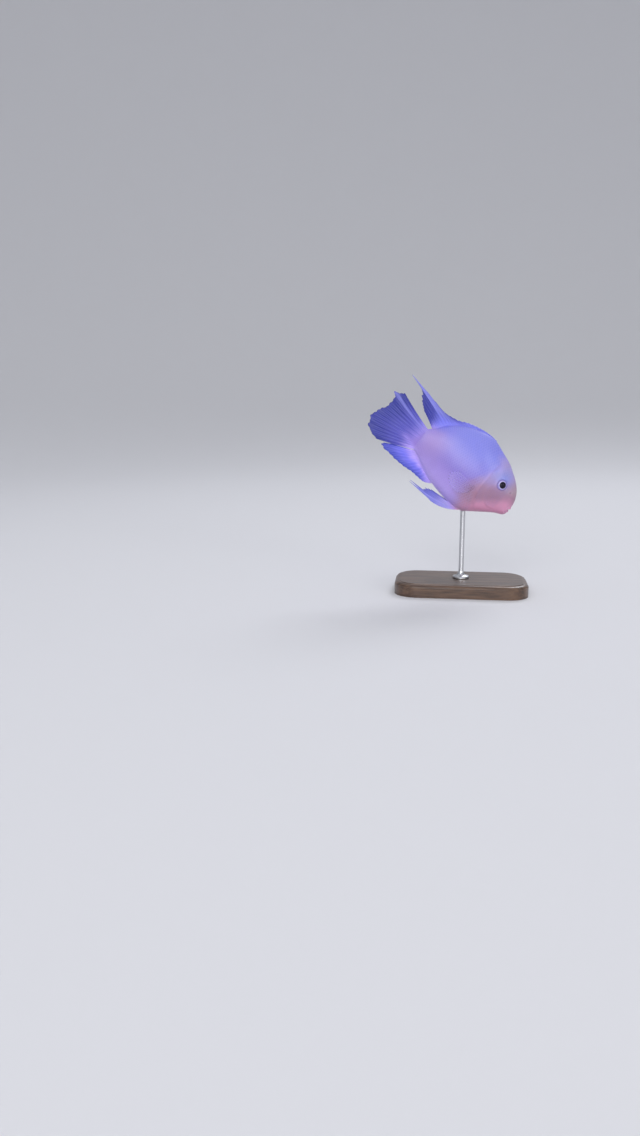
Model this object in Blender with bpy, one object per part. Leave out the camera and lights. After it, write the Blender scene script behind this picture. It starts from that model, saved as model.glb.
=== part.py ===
"""Blood parrot cichlid, a still life-size model swimming nose down on a display stand.

Metres, +Z up, head towards +X, left side towards +Y. The origin is the middle of the
stand's underside. Sizes are written in millimetres and become metres in to_world.
"""
import math

import bmesh
import bpy
import numpy as np
from mathutils import Matrix, Vector

MM = 0.001
GAP = 0.3                       # room left between two nodes that touch

# Pose and stand
NOSE_DOWN = math.radians(33.0)  # the body axis dips towards the head
BODY_AXIS_OVER_FLOOR = 56.0     # height of the fish frame's zero point
ROD_TO_SNOUT = 29.7             # level distance from the rod to the fish frame's zero point
BASE_LENGTH = 80.0
BASE_WIDTH = 48.0
BASE_HEIGHT = 8.0
BASE_CORNER_RADIUS = 14.0
BASE_CORNER_SIDES = 8
BASE_EDGE_ROUND = 1.6
BASE_EDGE_SIDES = 3
ROD_RADIUS = 1.5
FLANGE_RADIUS = 5.0
FLANGE_HEIGHT = 1.8
ROD_SIDES = 20
ROD_STATIONS = (7.0, 10.0)      # the rod meets the belly between these stations of the body

# The body from the lips to the root of the tail fin. Each row is one slanted cross-section:
# back along and high, belly along and high, half width, and how far down the depth it is widest.
# Along runs towards the tail, high towards the back.
BODY_STATIONS = (
    (-0.76, -5.90, -0.76, -5.90, 0.0, 0.50),
    (-1.15, -4.36, -0.66, -7.42, 2.1, 0.49),
    (-1.08, -1.80, -0.30, -9.10, 3.3, 0.54),
    (-0.20, 1.98, 1.30, -10.55, 4.7, 0.61),
    (2.00, 6.25, 5.05, -11.92, 6.4, 0.56),
    (5.51, 10.22, 9.25, -14.22, 8.2, 0.54),
    (9.98, 13.75, 13.45, -16.72, 9.8, 0.54),
    (14.94, 17.20, 18.05, -19.42, 10.9, 0.54),
    (21.70, 20.34, 24.00, -22.40, 11.6, 0.54),
    (30.00, 23.70, 32.00, -21.90, 11.5, 0.54),
    (39.00, 23.40, 41.00, -19.80, 10.5, 0.53),
    (48.00, 21.20, 49.50, -16.90, 8.6, 0.52),
    (56.00, 16.80, 57.00, -12.80, 6.0, 0.51),
    (62.00, 11.00, 62.50, -9.60, 3.7, 0.50),
    (66.50, 7.30, 67.00, -7.40, 1.9, 0.50),
)
LAST_STATION = len(BODY_STATIONS) - 1
BACK_POINTEDNESS = 0.25         # how much the upper sections narrow towards the back
BELLY_FULLNESS = 0.20           # how much the lower sections fill out
FULL_SHAPE_STATION = 5.0        # where the sections reach that shape; the lips are plain ellipses
SNOUT_ROUNDING = 1.1            # how far the snout's sides fall back behind its middle
SNOUT_ROUNDED_STATION = 2.0     # where they fall back most
SNOUT_END_STATION = 4.5         # where they no longer do
GILL_EDGE_STATION = 7.85        # rear edge of the gill cover at mid height
NAPE_SET_FORWARD = 0.30         # stations by which the cut leads on the nape
THROAT_SET_FORWARD = 1.25       # stations by which the cut leads on the throat
TAIL_STEM_STATION = 12.2

# Relief on the head
MOUTH_DROOP = math.radians(30.0)  # how far the mouth's corner hangs below its middle
MOUTH_END_STATION = 2.5
MOUTH_LINE_POINTS = 24
LIP_HEIGHT = 0.50
LIP_SPACING = 1.10
LIP_WIDTH = 0.65
LIP_THINNING = 0.75             # share of a lip's height lost by the mouth's corner
MOUTH_DEPTH = 0.55
MOUTH_WIDTH = 0.42
GILL_COVER_RISE = 0.42
GILL_COVER_REACH = 1.1          # stations over which the cover's rear edge lifts
GILL_COVER_START = 0.45         # sine of the angle off the midline where it starts to lift
GILL_COVER_RUN = 0.4            # rise of the sine until it is full
ORBIT_RISE = 0.22
ORBIT_WIDTH = 0.7
NOSTRIL = (4.9, 3.1)            # along and high
NOSTRIL_RADIUS = 0.55
MOUTH_GATHERING = 0.28          # how far the head's columns crowd towards the mouth's line
GATHERED_SHARE = 0.25           # share of the head's length over which they do
GATHERING_FADE = 0.35

# Eyes
EYE = (11.8, 4.5)
EYE_RADIUS = 3.4
EYE_HALF_DEPTH = 2.3
EYE_SUNK = 1.3                  # depth of the eye's middle under the cheek

# Fins
MEMBRANE_THICKNESS = 0.5
FIN_TIP_THICKNESS = 0.24
THINNING_START = 0.8            # share of the way out where a fin starts to thin
RAY_RISE = 0.22                 # how far a ray stands out of each face of its membrane
RAY_TAPER = 0.4                 # share of that rise lost on the way out
FLESHY_SHARE = 0.3              # share of each ray that its fleshy root takes

HEAD_COLUMNS = 64
HEAD_RINGS = 30
HEAD_RING_CROWDING = 1.35       # over 1, the rings stand closer at the lips
TORSO_COLUMNS = 44
TORSO_RINGS = 22
TAIL_STEM_RINGS = 6
FIN_ROW_CROWDING = 1.15
SOCKET_SIDES = (28, 14)         # segments and rings of each ball
PIT_SIDES = (10, 6)
EYE_SIDES = (24, 12)
FINE_STEP = 0.02                # step in station or angle for a direction


def clear_scene():
    for item in list(bpy.data.objects):
        bpy.data.objects.remove(item)


def to_world(point):
    """Metres in the room from millimetres along, to the left and high on the fish."""
    along, side, high = point
    across = ROD_TO_SNOUT - along * math.cos(NOSE_DOWN) + high * math.sin(NOSE_DOWN)
    up = BODY_AXIS_OVER_FLOOR + along * math.sin(NOSE_DOWN) + high * math.cos(NOSE_DOWN)
    return Vector((across, side, up)) * MM


def smooth_through(knots, position):
    """Value at a fractional index of a smooth curve; a knot stands before the first and after the last."""
    start = min(max(int(math.floor(position)), 0), len(knots) - 4)
    share = position - start
    before, here, after, beyond = knots[start:start + 4]
    linear = after - before
    square = 2 * before - 5 * here + 4 * after - beyond
    cube = 3 * here - before - 3 * after + beyond
    return 0.5 * (2 * here + linear * share + square * share ** 2 + cube * share ** 3)


def with_end_knots(rows):
    """The rows with one more at each end, in line with the last two."""
    rows = np.array(rows, dtype=float)
    return np.vstack((2 * rows[0] - rows[1], rows, 2 * rows[-1] - rows[-2]))


def body_knots():
    """Stations with the nose continued round, so that its tip is smooth."""
    knots = with_end_knots(BODY_STATIONS)
    second = knots[2]
    knots[0] = (second[2], second[3], second[0], second[1], -second[4], second[5])
    return knots


BODY_KNOTS = body_knots()


def ease(value):
    """A soft step from 0 to 1."""
    value = min(max(value, 0.0), 1.0)
    return value * value * (3.0 - 2.0 * value)


def bell(distance, width):
    """A smooth bump of height 1."""
    return math.exp(-(distance / width) ** 2)


def power(value, exponent):
    return math.copysign(abs(value) ** exponent, value)


def set_back(station):
    """How far the sides of a section lie behind its plane, which rounds the snout from above."""
    fading = (station - SNOUT_ROUNDED_STATION) / (SNOUT_END_STATION - SNOUT_ROUNDED_STATION)
    return SNOUT_ROUNDING * ease(station / SNOUT_ROUNDED_STATION) * (1.0 - ease(fading))


def body_point(station, around):
    """Point of the smooth body; around is the angle from the back, growing down the left side."""
    back_s, back_h, belly_s, belly_h, half, share = smooth_through(BODY_KNOTS, station)
    shaping = ease(station / FULL_SHAPE_STATION) * math.cos(around) ** 2
    if math.cos(around) >= 0.0:
        exponent = 2.0 / (2.0 - BACK_POINTEDNESS * shaping)
        down = share * (1.0 - abs(math.cos(around)) ** exponent)
    else:
        exponent = 2.0 / (2.0 + BELLY_FULLNESS * shaping)
        down = share + (1.0 - share) * abs(math.cos(around)) ** exponent
    side = half * power(math.sin(around), exponent)
    along = back_s + down * (belly_s - back_s) + set_back(station) * math.sin(around) ** 2
    return Vector((along, side, back_h + down * (belly_h - back_h)))


def body_normal(station, around):
    """Outward direction at a point of the smooth body."""
    if station < FINE_STEP:
        return Vector((-1.0, 0.0, 0.0))
    lengthways = body_point(station + FINE_STEP, around) - body_point(station - FINE_STEP, around)
    sideways = body_point(station, around + FINE_STEP) - body_point(station, around - FINE_STEP)
    return lengthways.cross(sideways).normalized()


def station_at(along, high):
    """Station whose slanted section holds a point of the side view."""
    low, top = 0.5, float(LAST_STATION)
    for _ in range(40):
        middle = (low + top) / 2.0
        back_s, back_h, belly_s, belly_h = smooth_through(BODY_KNOTS, middle)[:4]
        line_along = back_s + (belly_s - back_s) * (back_h - high) / (back_h - belly_h)
        if line_along < along:
            low = middle
        else:
            top = middle
    return low


def around_at(station, high):
    """Angle down the left side at which a section reaches a height."""
    low, top = 0.0, math.pi
    for _ in range(40):
        middle = (low + top) / 2.0
        if body_point(station, middle).z > high:
            low = middle
        else:
            top = middle
    return low


def flank(along, high):
    """Place and outward direction on the left flank at a point of the side view."""
    station = station_at(along, high)
    around = around_at(station, high)
    return body_point(station, around), body_normal(station, around)


def gill_edge(around):
    """Station of the cut between head and torso, along the gill opening."""
    upward = max(math.cos(around), 0.0)
    downward = max(-math.cos(around), 0.0)
    return GILL_EDGE_STATION - NAPE_SET_FORWARD * upward ** 2 - THROAT_SET_FORWARD * downward ** 2


def mouth_angle(station):
    """Angle of the mouth's line on the left side, drooping towards its corner."""
    return math.pi / 2.0 + MOUTH_DROOP * ease(station / MOUTH_END_STATION)


def mouth_line():
    """Places along the closed mouth, from the middle of the snout to its left corner."""
    stations = [MOUTH_END_STATION * index / MOUTH_LINE_POINTS for index in range(MOUTH_LINE_POINTS + 1)]
    return [body_point(station, mouth_angle(station)) for station in stations]


MOUTH_LINE = mouth_line()


def mouth_relief(point):
    """Lips and the line between them, by the distance from the mouth's line."""
    left = Vector((point.x, abs(point.y), point.z))
    distance, nearest = min(((left - place).length, index) for index, place in enumerate(MOUTH_LINE))
    if distance > LIP_SPACING + 3.0 * LIP_WIDTH:
        return 0.0
    lips = LIP_HEIGHT * bell(distance - LIP_SPACING, LIP_WIDTH)
    lips *= 1.0 - LIP_THINNING * nearest / MOUTH_LINE_POINTS
    return lips - MOUTH_DEPTH * bell(distance, MOUTH_WIDTH)


def head_relief(station, around, point):
    """How far the head stands proud of the smooth body."""
    relief = mouth_relief(point)
    flankness = ease((abs(math.sin(around)) - GILL_COVER_START) / GILL_COVER_RUN)
    behind = (station - gill_edge(around) + GILL_COVER_REACH) / GILL_COVER_REACH
    relief += GILL_COVER_RISE * flankness * ease(behind)
    from_eye = math.hypot(point.x - EYE[0], point.z - EYE[1])
    relief += ORBIT_RISE * bell(from_eye - EYE_RADIUS, ORBIT_WIDTH)
    return relief


def material(name, colour, roughness, metallic=0.0):
    finish = bpy.data.materials.new(name)
    finish.use_nodes = True
    shader = finish.node_tree.nodes["Principled BSDF"]
    shader.inputs["Base Color"].default_value = (*colour, 1.0)
    shader.inputs["Roughness"].default_value = roughness
    shader.inputs["Metallic"].default_value = metallic
    finish.diffuse_color = (*colour, 1.0)
    return finish


def add_object(name, mesh, finish):
    mesh.materials.append(finish)
    mesh.shade_smooth()
    mesh.set_sharp_from_angle(angle=math.radians(50.0))
    piece = bpy.data.objects.new(name, mesh)
    bpy.context.collection.objects.link(piece)
    return piece


def mesh_from(name, points, faces):
    """Closed mesh from points of the fish and faces, turned to face outwards."""
    shape = bmesh.new()
    vertices = [shape.verts.new(to_world(point)) for point in points]
    for face in faces:
        shape.faces.new([vertices[index] for index in face])
    bmesh.ops.recalc_face_normals(shape, faces=shape.faces)
    mesh = bpy.data.meshes.new(name)
    shape.to_mesh(mesh)
    shape.free()
    return mesh


def band_faces(rings, columns):
    """Triangles between neighbouring rings of a loft."""
    faces = []
    for ring in range(rings - 1):
        for column in range(columns):
            following = (column + 1) % columns
            near, far = ring * columns, (ring + 1) * columns
            faces.append((near + column, near + following, far + following))
            faces.append((near + column, far + following, far + column))
    return faces


def cap_faces(first, columns):
    """Straight strips from the left edge of a ring to its right edge."""
    top = first
    bottom = first + columns // 2
    faces = [(top, top + 1, first + columns - 1)]
    for step in range(1, columns // 2 - 1):
        left, right = first + step, first + columns - step
        faces.append((left, left + 1, right - 1))
        faces.append((left, right - 1, right))
    faces.append((bottom - 1, bottom, bottom + 1))
    return faces


def body_length(name, finish, columns, stations, relief=None):
    """One length of the body: stations(share, around) for each ring, closed at both ends."""
    points = []
    for share in stations["shares"]:
        for column in range(columns):
            around = stations["angle"](share, 2.0 * math.pi * column / columns)
            station = stations["station"](share, around)
            point = body_point(station, around)
            if relief:
                point = point + body_normal(station, around) * relief(station, around, point)
            points.append(point)
    rings = len(stations["shares"])
    faces = band_faces(rings, columns) + cap_faces((rings - 1) * columns, columns)
    if stations["pole"]:
        points.append(body_point(0.0, 0.0) + Vector((MOUTH_DEPTH, 0.0, 0.0)))
        pole = len(points) - 1
        faces += [(column, (column + 1) % columns, pole) for column in range(columns)]
    else:
        faces += cap_faces(0, columns)
    return add_object(name, mesh_from(name, points, faces), finish)


def step_past(station, around):
    """The station one gap further towards the tail."""
    travel = body_point(station + FINE_STEP, around).x - body_point(station - FINE_STEP, around).x
    return station + GAP * 2.0 * FINE_STEP / travel


def head_angle(share, around):
    """Columns gather on the mouth's line at the lips and spread evenly further back."""
    front = 1.0 - ease((share - GATHERED_SHARE) / GATHERING_FADE)
    gathered = around + MOUTH_GATHERING * front * math.sin(2.0 * around)
    droop = MOUTH_DROOP * ease(share * GILL_EDGE_STATION / MOUTH_END_STATION) * front
    return gathered + droop * math.sin(gathered)


def head_station(share, around):
    straight = share * GILL_EDGE_STATION
    return straight + (gill_edge(around) - GILL_EDGE_STATION) * share ** 4


def build_head(finish):
    shares = [(ring / HEAD_RINGS) ** HEAD_RING_CROWDING for ring in range(1, HEAD_RINGS + 1)]
    stations = {"shares": shares, "angle": head_angle, "station": head_station, "pole": True}
    head = body_length("head", finish, HEAD_COLUMNS, stations, head_relief)
    cutters = []
    eye_place, eye_out = flank(*EYE)
    nostril_place, nostril_out = flank(*NOSTRIL)
    for side in (1.0, -1.0):
        socket_sizes = (EYE_RADIUS + GAP, EYE_HALF_DEPTH + GAP)
        cutters.append(lens("socket", eye_place, eye_out, side, EYE_SUNK, socket_sizes, SOCKET_SIDES))
        pit_sizes = (NOSTRIL_RADIUS, NOSTRIL_RADIUS)
        cutters.append(lens("pit", nostril_place, nostril_out, side, 0.0, pit_sizes, PIT_SIDES))
    carve(head, cutters)
    return head


def lens(name, place, outward, side, sunk, sizes, sides):
    """Flattened ball set into the skin, its short axis along the skin's outward direction."""
    middle = Vector((place.x, place.y * side, place.z))
    facing = Vector((outward.x, outward.y * side, outward.z))
    middle = middle - facing * sunk
    centre = to_world(middle)
    axis = (to_world(middle + facing) - centre).normalized()
    turn = axis.to_track_quat("Z", "Y").to_matrix().to_4x4()
    wide, deep = sizes
    segments, rings = sides
    scale = Matrix.Diagonal((wide * MM, wide * MM, deep * MM, 1.0))
    shape = bmesh.new()
    placed = Matrix.Translation(centre) @ turn @ scale
    bmesh.ops.create_uvsphere(shape, u_segments=segments, v_segments=rings, radius=1.0, matrix=placed)
    bmesh.ops.recalc_face_normals(shape, faces=shape.faces)
    mesh = bpy.data.meshes.new(name)
    shape.to_mesh(mesh)
    shape.free()
    piece = bpy.data.objects.new(name, mesh)
    bpy.context.collection.objects.link(piece)
    return piece


def carve(piece, cutters):
    """Cuts the cutters out of a piece and removes them."""
    for cutter in cutters:
        cut = piece.modifiers.new("carve", "BOOLEAN")
        cut.operation = "DIFFERENCE"
        cut.object = cutter
        bpy.context.view_layer.objects.active = piece
        bpy.ops.object.modifier_apply(modifier=cut.name)
    for cutter in cutters:
        bpy.data.objects.remove(cutter)


def build_eyes(finish):
    place, outward = flank(*EYE)
    for name, side in (("eye_left", 1.0), ("eye_right", -1.0)):
        eye = lens(name, place, outward, side, EYE_SUNK, (EYE_RADIUS, EYE_HALF_DEPTH), EYE_SIDES)
        eye.data.materials.append(finish)
        eye.data.shade_smooth()


def plain_angle(share, around):
    return around


def build_torso(finish):
    def torso_station(share, around):
        front = step_past(gill_edge(around), around)
        return front + (TAIL_STEM_STATION - front) * share

    shares = [ring / TORSO_RINGS for ring in range(TORSO_RINGS + 1)]
    stations = {"shares": shares, "angle": plain_angle, "station": torso_station, "pole": False}
    body_length("torso", finish, TORSO_COLUMNS, stations)


def build_tail_stem(finish):
    def stem_station(share, around):
        front = step_past(TAIL_STEM_STATION, around)
        return front + (LAST_STATION - front) * share

    shares = [ring / TAIL_STEM_RINGS for ring in range(TAIL_STEM_RINGS + 1)]
    stations = {"shares": shares, "angle": plain_angle, "station": stem_station, "pole": False}
    body_length("tail_stem", finish, TORSO_COLUMNS, stations)


class Fin:
    """A fin as rays fanned from a root line to an outer edge, bent through a control point each."""

    def __init__(self, edge, rays, rows, root, control, notch, fleshy, filament=None):
        self.edge = with_end_knots(edge)
        self.rays = rays
        self.rows = rows
        self.root = root            # place of the root at a share of the way from first ray to last
        self.control = control      # control point from that share, the root and the tip
        self.notch = notch          # share by which the membrane falls short between two rays
        self.fleshy = fleshy        # extra half thickness at the root
        self.filament = filament    # share, spread and reach of the rays that trail out

    def point(self, across, out, on_ray=True, plain=False):
        """Middle of the sheet; plain leaves out the filament and the notches."""
        root = self.root(across)
        tip = Vector(smooth_through(self.edge, across * (len(self.edge) - 3)))
        if self.filament and not plain:
            place, spread, reach = self.filament
            tip += Vector(reach) * bell(across - place, spread)
        if not on_ray:
            tip = root.lerp(tip, 1.0 - self.notch(across))
        control = self.control(across, root, tip)
        return root * (1.0 - out) ** 2 + control * 2.0 * out * (1.0 - out) + tip * out ** 2

    def normal(self, across, out):
        """Direction out of the sheet's face, from its plain form."""
        sideways = self.point(min(across + FINE_STEP, 1.0), out, plain=True)
        sideways -= self.point(max(across - FINE_STEP, 0.0), out, plain=True)
        outwards = self.point(across, min(out + FINE_STEP, 1.0), plain=True)
        outwards -= self.point(across, max(out - FINE_STEP, 0.0), plain=True)
        return sideways.cross(outwards).normalized()

    def half_thickness(self, across, out, on_ray):
        """A fleshy root, an even membrane, raised rays and a thin edge."""
        edge = ease((out - THINNING_START) / (1.0 - THINNING_START))
        half = MEMBRANE_THICKNESS / 2.0 * (1.0 - edge) + FIN_TIP_THICKNESS / 2.0 * edge
        half += self.fleshy(across) * (1.0 - ease(out / FLESHY_SHARE))
        if on_ray:
            half += RAY_RISE * (1.0 - edge) * (1.0 - RAY_TAPER * out)
        return half


def fin_mesh(name, fin, side=1.0):
    """Closed fin with a column on each ray and one between, both faces split alike."""
    columns = 2 * fin.rays - 1
    rows = fin.rows
    near_face, far_face = [], []
    for column in range(columns):
        across = column / (columns - 1)
        on_ray = column % 2 == 0
        for row in range(rows + 1):
            out = (row / rows) ** FIN_ROW_CROWDING
            middle = fin.point(across, out, on_ray)
            offset = fin.normal(across, out) * fin.half_thickness(across, out, on_ray)
            near_face.append(middle + offset)
            far_face.append(middle - offset)
    points = [Vector((point.x, point.y * side, point.z)) for point in near_face + far_face]
    other = len(near_face)
    faces = []
    for column in range(columns - 1):
        for row in range(rows):
            low = column * (rows + 1) + row
            high = low + rows + 1
            for a, b, c in ((low, high, high + 1), (low, high + 1, low + 1)):
                faces.append((a, b, c))
                faces.append((c + other, b + other, a + other))
    rim = [column * (rows + 1) for column in range(columns)]
    rim += [(columns - 1) * (rows + 1) + row for row in range(1, rows + 1)]
    rim += [column * (rows + 1) + rows for column in range(columns - 2, -1, -1)]
    rim += list(range(rows - 1, 0, -1))
    for index, near in enumerate(rim):
        far = rim[(index + 1) % len(rim)]
        faces.append((near, far, far + other))
        faces.append((near, far + other, near + other))
    return mesh_from(name, points, faces)


def set_off(line_point, other_point):
    """A point of the outline moved one gap away from the body."""
    return line_point + (line_point - other_point).normalized() * GAP


def swept(across, root, tip, sweep, wave):
    """Control point half way out, bent along, aside and high by amounts that grow from the first ray."""
    return root.lerp(tip, 0.5) + Vector((sweep[0], wave, sweep[1])) * ease(across * 2.0)


# Dorsal fin: low folded spines, then soft rays that trail out into a filament
DORSAL_STATIONS = (8.75, 13.55)
DORSAL_RAYS = 25
DORSAL_ROWS = 6
DORSAL_EDGE = (
    (28.8, 0.0, 23.9), (34.5, 0.0, 24.7), (41.0, 0.0, 24.6), (48.5, 0.0, 23.4), (56.8, 0.0, 21.0),
    (66.9, 0.3, 21.5), (82.3, 0.8, 25.8), (79.4, 0.5, 19.4), (75.0, 0.2, 15.2),
)
DORSAL_FILAMENT = (18 / 24, 0.022, (11.3, 0.5, 3.3))
DORSAL_NOTCH = 0.03             # between two spines
DORSAL_SOFT_NOTCH = 0.05        # more between two soft rays
DORSAL_SOFT_START = 0.55
DORSAL_SOFT_RUN = 0.3
DORSAL_FLESH = 0.45
DORSAL_SWEEP = (-0.6, 0.2)      # middle of the fin bent along and high
DORSAL_WAVE = 0.35              # and from side to side
DORSAL_WAVE_PACE = 9.0


def dorsal_root(across):
    first, last = DORSAL_STATIONS
    station = first + (last - first) * across
    return set_off(body_point(station, 0.0), body_point(station, math.pi))


def dorsal_control(across, root, tip):
    return swept(across, root, tip, DORSAL_SWEEP, DORSAL_WAVE * math.sin(DORSAL_WAVE_PACE * across))


def dorsal_notch(across):
    return DORSAL_NOTCH + DORSAL_SOFT_NOTCH * ease((across - DORSAL_SOFT_START) / DORSAL_SOFT_RUN)


def build_dorsal_fin(finish):
    fin = Fin(DORSAL_EDGE, DORSAL_RAYS, DORSAL_ROWS, dorsal_root, dorsal_control, dorsal_notch,
              lambda across: DORSAL_FLESH, DORSAL_FILAMENT)
    add_object("dorsal_fin", fin_mesh("dorsal_fin", fin), finish)


# Tail fin: a fan with a ragged rear edge
CAUDAL_RAYS = 15
CAUDAL_ROWS = 7
CAUDAL_EDGE = (
    (90.6, 0.2, 17.7), (94.0, 0.8, 15.6), (94.7, 1.4, 9.3), (96.4, 1.1, 4.5), (99.4, 0.3, 0.4),
    (101.4, -0.6, -4.2), (99.2, -1.3, -8.8), (96.0, -1.2, -12.6), (89.5, -0.5, -14.6),
)
CAUDAL_FILAMENT = (2 / 14, 0.03, (3.4, 0.3, 0.6))
CAUDAL_ROOT_SHARE = 0.93        # how much of the stem's depth the fin's root takes up
CAUDAL_REACH = 0.42             # how far along its own length a ray runs straight back
CAUDAL_SPREAD = 8.0             # by how much the outer rays spread there
CAUDAL_NOTCH = 0.022
CAUDAL_FLESH = 0.8              # at the middle ray
CAUDAL_FLESH_LOSS = 0.5         # towards the outer rays


def caudal_root(across):
    stem_top = body_point(LAST_STATION, 0.0)
    stem_bottom = body_point(LAST_STATION, math.pi)
    inset = (1.0 - CAUDAL_ROOT_SHARE) / 2.0
    return stem_top.lerp(stem_bottom, inset + CAUDAL_ROOT_SHARE * across) + Vector((GAP, 0.0, 0.0))


def caudal_control(across, root, tip):
    reach = (tip - root).length
    return root + Vector((CAUDAL_REACH * reach, 0.0, (0.5 - across) * CAUDAL_SPREAD))


def caudal_flesh(across):
    return CAUDAL_FLESH - CAUDAL_FLESH_LOSS * abs(across - 0.5)


def build_caudal_fin(finish):
    fin = Fin(CAUDAL_EDGE, CAUDAL_RAYS, CAUDAL_ROWS, caudal_root, caudal_control,
              lambda across: CAUDAL_NOTCH, caudal_flesh, CAUDAL_FILAMENT)
    add_object("caudal_fin", fin_mesh("caudal_fin", fin), finish)


# Anal fin: folded spines in front, soft rays swept back under the tail
ANAL_STATIONS = (10.55, 13.8)
ANAL_RAYS = 15
ANAL_ROWS = 6
ANAL_NOTCH = 0.02
ANAL_SOFT_NOTCH = 0.03
ANAL_FLESH = 0.4
ANAL_SWEEP = (-0.4, -0.5)
ANAL_WAVE = 0.3
ANAL_WAVE_PACE = 8.0
ANAL_EDGE = (
    (47.4, 0.0, -18.9), (51.4, 0.0, -20.4), (55.8, 0.0, -19.9), (60.8, 0.1, -19.3), (66.8, 0.3, -19.4),
    (73.5, 0.6, -18.8), (80.0, 0.9, -17.4), (86.2, 1.2, -15.4), (79.8, 1.4, -11.6),
)


def anal_root(across):
    first, last = ANAL_STATIONS
    station = first + (last - first) * across
    return set_off(body_point(station, math.pi), body_point(station, 0.0))


def anal_control(across, root, tip):
    return swept(across, root, tip, ANAL_SWEEP, ANAL_WAVE * math.sin(ANAL_WAVE_PACE * across))


def build_anal_fin(finish):
    fin = Fin(ANAL_EDGE, ANAL_RAYS, ANAL_ROWS, anal_root, anal_control,
              lambda across: ANAL_NOTCH + ANAL_SOFT_NOTCH * ease(across), lambda across: ANAL_FLESH)
    add_object("anal_fin", fin_mesh("anal_fin", fin), finish)


# Pelvic fins: laid back under the belly, the second ray drawn out into a filament
PELVIC_STATIONS = (7.7, 8.8)
PELVIC_AROUND = math.radians(167.0)
PELVIC_RAYS = 6
PELVIC_ROWS = 8
PELVIC_EDGE = (
    (41.8, 4.3, -27.0), (47.3, 4.7, -26.3), (49.1, 4.3, -24.3), (48.5, 3.9, -23.0), (46.8, 3.5, -22.2),
    (44.6, 3.2, -21.7),
)
PELVIC_LEAD = Vector((9.2, 0.9, -7.2))    # from root to control point on the first ray
PELVIC_TRAIL = Vector((3.0, 0.5, -0.9))   # and on the last
PELVIC_SPREAD = 0.7
PELVIC_FILAMENT = (1 / 5, 0.07, (12.6, 0.8, 2.3))
PELVIC_NOTCH = 0.05
PELVIC_FLESH = 0.35


def pelvic_root(across):
    first, last = PELVIC_STATIONS
    station = first + (last - first) * across
    return body_point(station, PELVIC_AROUND) + body_normal(station, PELVIC_AROUND) * GAP


def pelvic_control(across, root, tip):
    return root + PELVIC_LEAD.lerp(PELVIC_TRAIL, across ** PELVIC_SPREAD)


def build_pelvic_fins(finish):
    fin = Fin(PELVIC_EDGE, PELVIC_RAYS, PELVIC_ROWS, pelvic_root, pelvic_control,
              lambda across: PELVIC_NOTCH, lambda across: PELVIC_FLESH, PELVIC_FILAMENT)
    for name, side in (("pelvic_fin_left", 1.0), ("pelvic_fin_right", -1.0)):
        add_object(name, fin_mesh(name, fin, side), finish)


# Pectoral fins: paddles on a short fleshy stub behind the gill covers
PECTORAL_ROOT_TOP = Vector((25.0, 0.0, -4.6))
PECTORAL_ROOT_BOTTOM = Vector((25.8, 0.0, -9.4))
PECTORAL_RAYS = 11
PECTORAL_ROWS = 6
PECTORAL_EDGE = (
    (38.2, 14.2, -2.2), (41.6, 15.0, -4.4), (42.6, 15.4, -7.6), (40.0, 15.2, -11.0), (35.4, 14.4, -13.2),
    (31.2, 13.6, -13.4),
)
PECTORAL_STUB = 3.0             # how far the fin stands off before it turns back
PECTORAL_NOTCH = 0.03
PECTORAL_FLESH = 0.45


def pectoral_root(across):
    seen = PECTORAL_ROOT_TOP.lerp(PECTORAL_ROOT_BOTTOM, across)
    place, outward = flank(seen.x, seen.z)
    return place + outward * GAP


def pectoral_control(across, root, tip):
    seen = PECTORAL_ROOT_TOP.lerp(PECTORAL_ROOT_BOTTOM, across)
    return root + flank(seen.x, seen.z)[1] * PECTORAL_STUB


def build_pectoral_fins(finish):
    fin = Fin(PECTORAL_EDGE, PECTORAL_RAYS, PECTORAL_ROWS, pectoral_root, pectoral_control,
              lambda across: PECTORAL_NOTCH, lambda across: PECTORAL_FLESH)
    for name, side in (("pectoral_fin_left", 1.0), ("pectoral_fin_right", -1.0)):
        add_object(name, fin_mesh(name, fin, side), finish)


def build_stand_base(finish):
    """Flat wooden plate with round corners and a rounded upper edge."""
    shape = bmesh.new()
    placed = Matrix.Translation((0.0, 0.0, BASE_HEIGHT * MM / 2.0))
    placed = placed @ Matrix.Diagonal((BASE_LENGTH * MM, BASE_WIDTH * MM, BASE_HEIGHT * MM, 1.0))
    bmesh.ops.create_cube(shape, size=1.0, matrix=placed)
    upright = [edge for edge in shape.edges if abs(edge.verts[0].co.z - edge.verts[1].co.z) > MM]
    bmesh.ops.bevel(shape, geom=upright, offset=BASE_CORNER_RADIUS * MM, segments=BASE_CORNER_SIDES,
                    profile=0.5, affect="EDGES")
    top = BASE_HEIGHT * MM
    rim = [edge for edge in shape.edges if all(abs(vertex.co.z - top) < 1e-6 for vertex in edge.verts)]
    bmesh.ops.bevel(shape, geom=rim, offset=BASE_EDGE_ROUND * MM, segments=BASE_EDGE_SIDES,
                    profile=0.5, affect="EDGES")
    mesh = bpy.data.meshes.new("stand_base")
    shape.to_mesh(mesh)
    shape.free()
    add_object("stand_base", mesh, finish)


def belly_over(across, side):
    """Height of the belly's skin over a point of the floor, in millimetres."""
    low, top = ROD_STATIONS
    around = math.pi
    for _ in range(30):
        station = (low + top) / 2.0
        half = smooth_through(BODY_KNOTS, station)[4]
        exponent = 2.0 / (2.0 + BELLY_FULLNESS)
        around = math.pi - math.asin(min(abs(side) / half, 1.0) ** (1.0 / exponent))
        if to_world(body_point(station, around)).x / MM > across:
            low = station
        else:
            top = station
    return to_world(body_point(low, around)).z / MM


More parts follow.
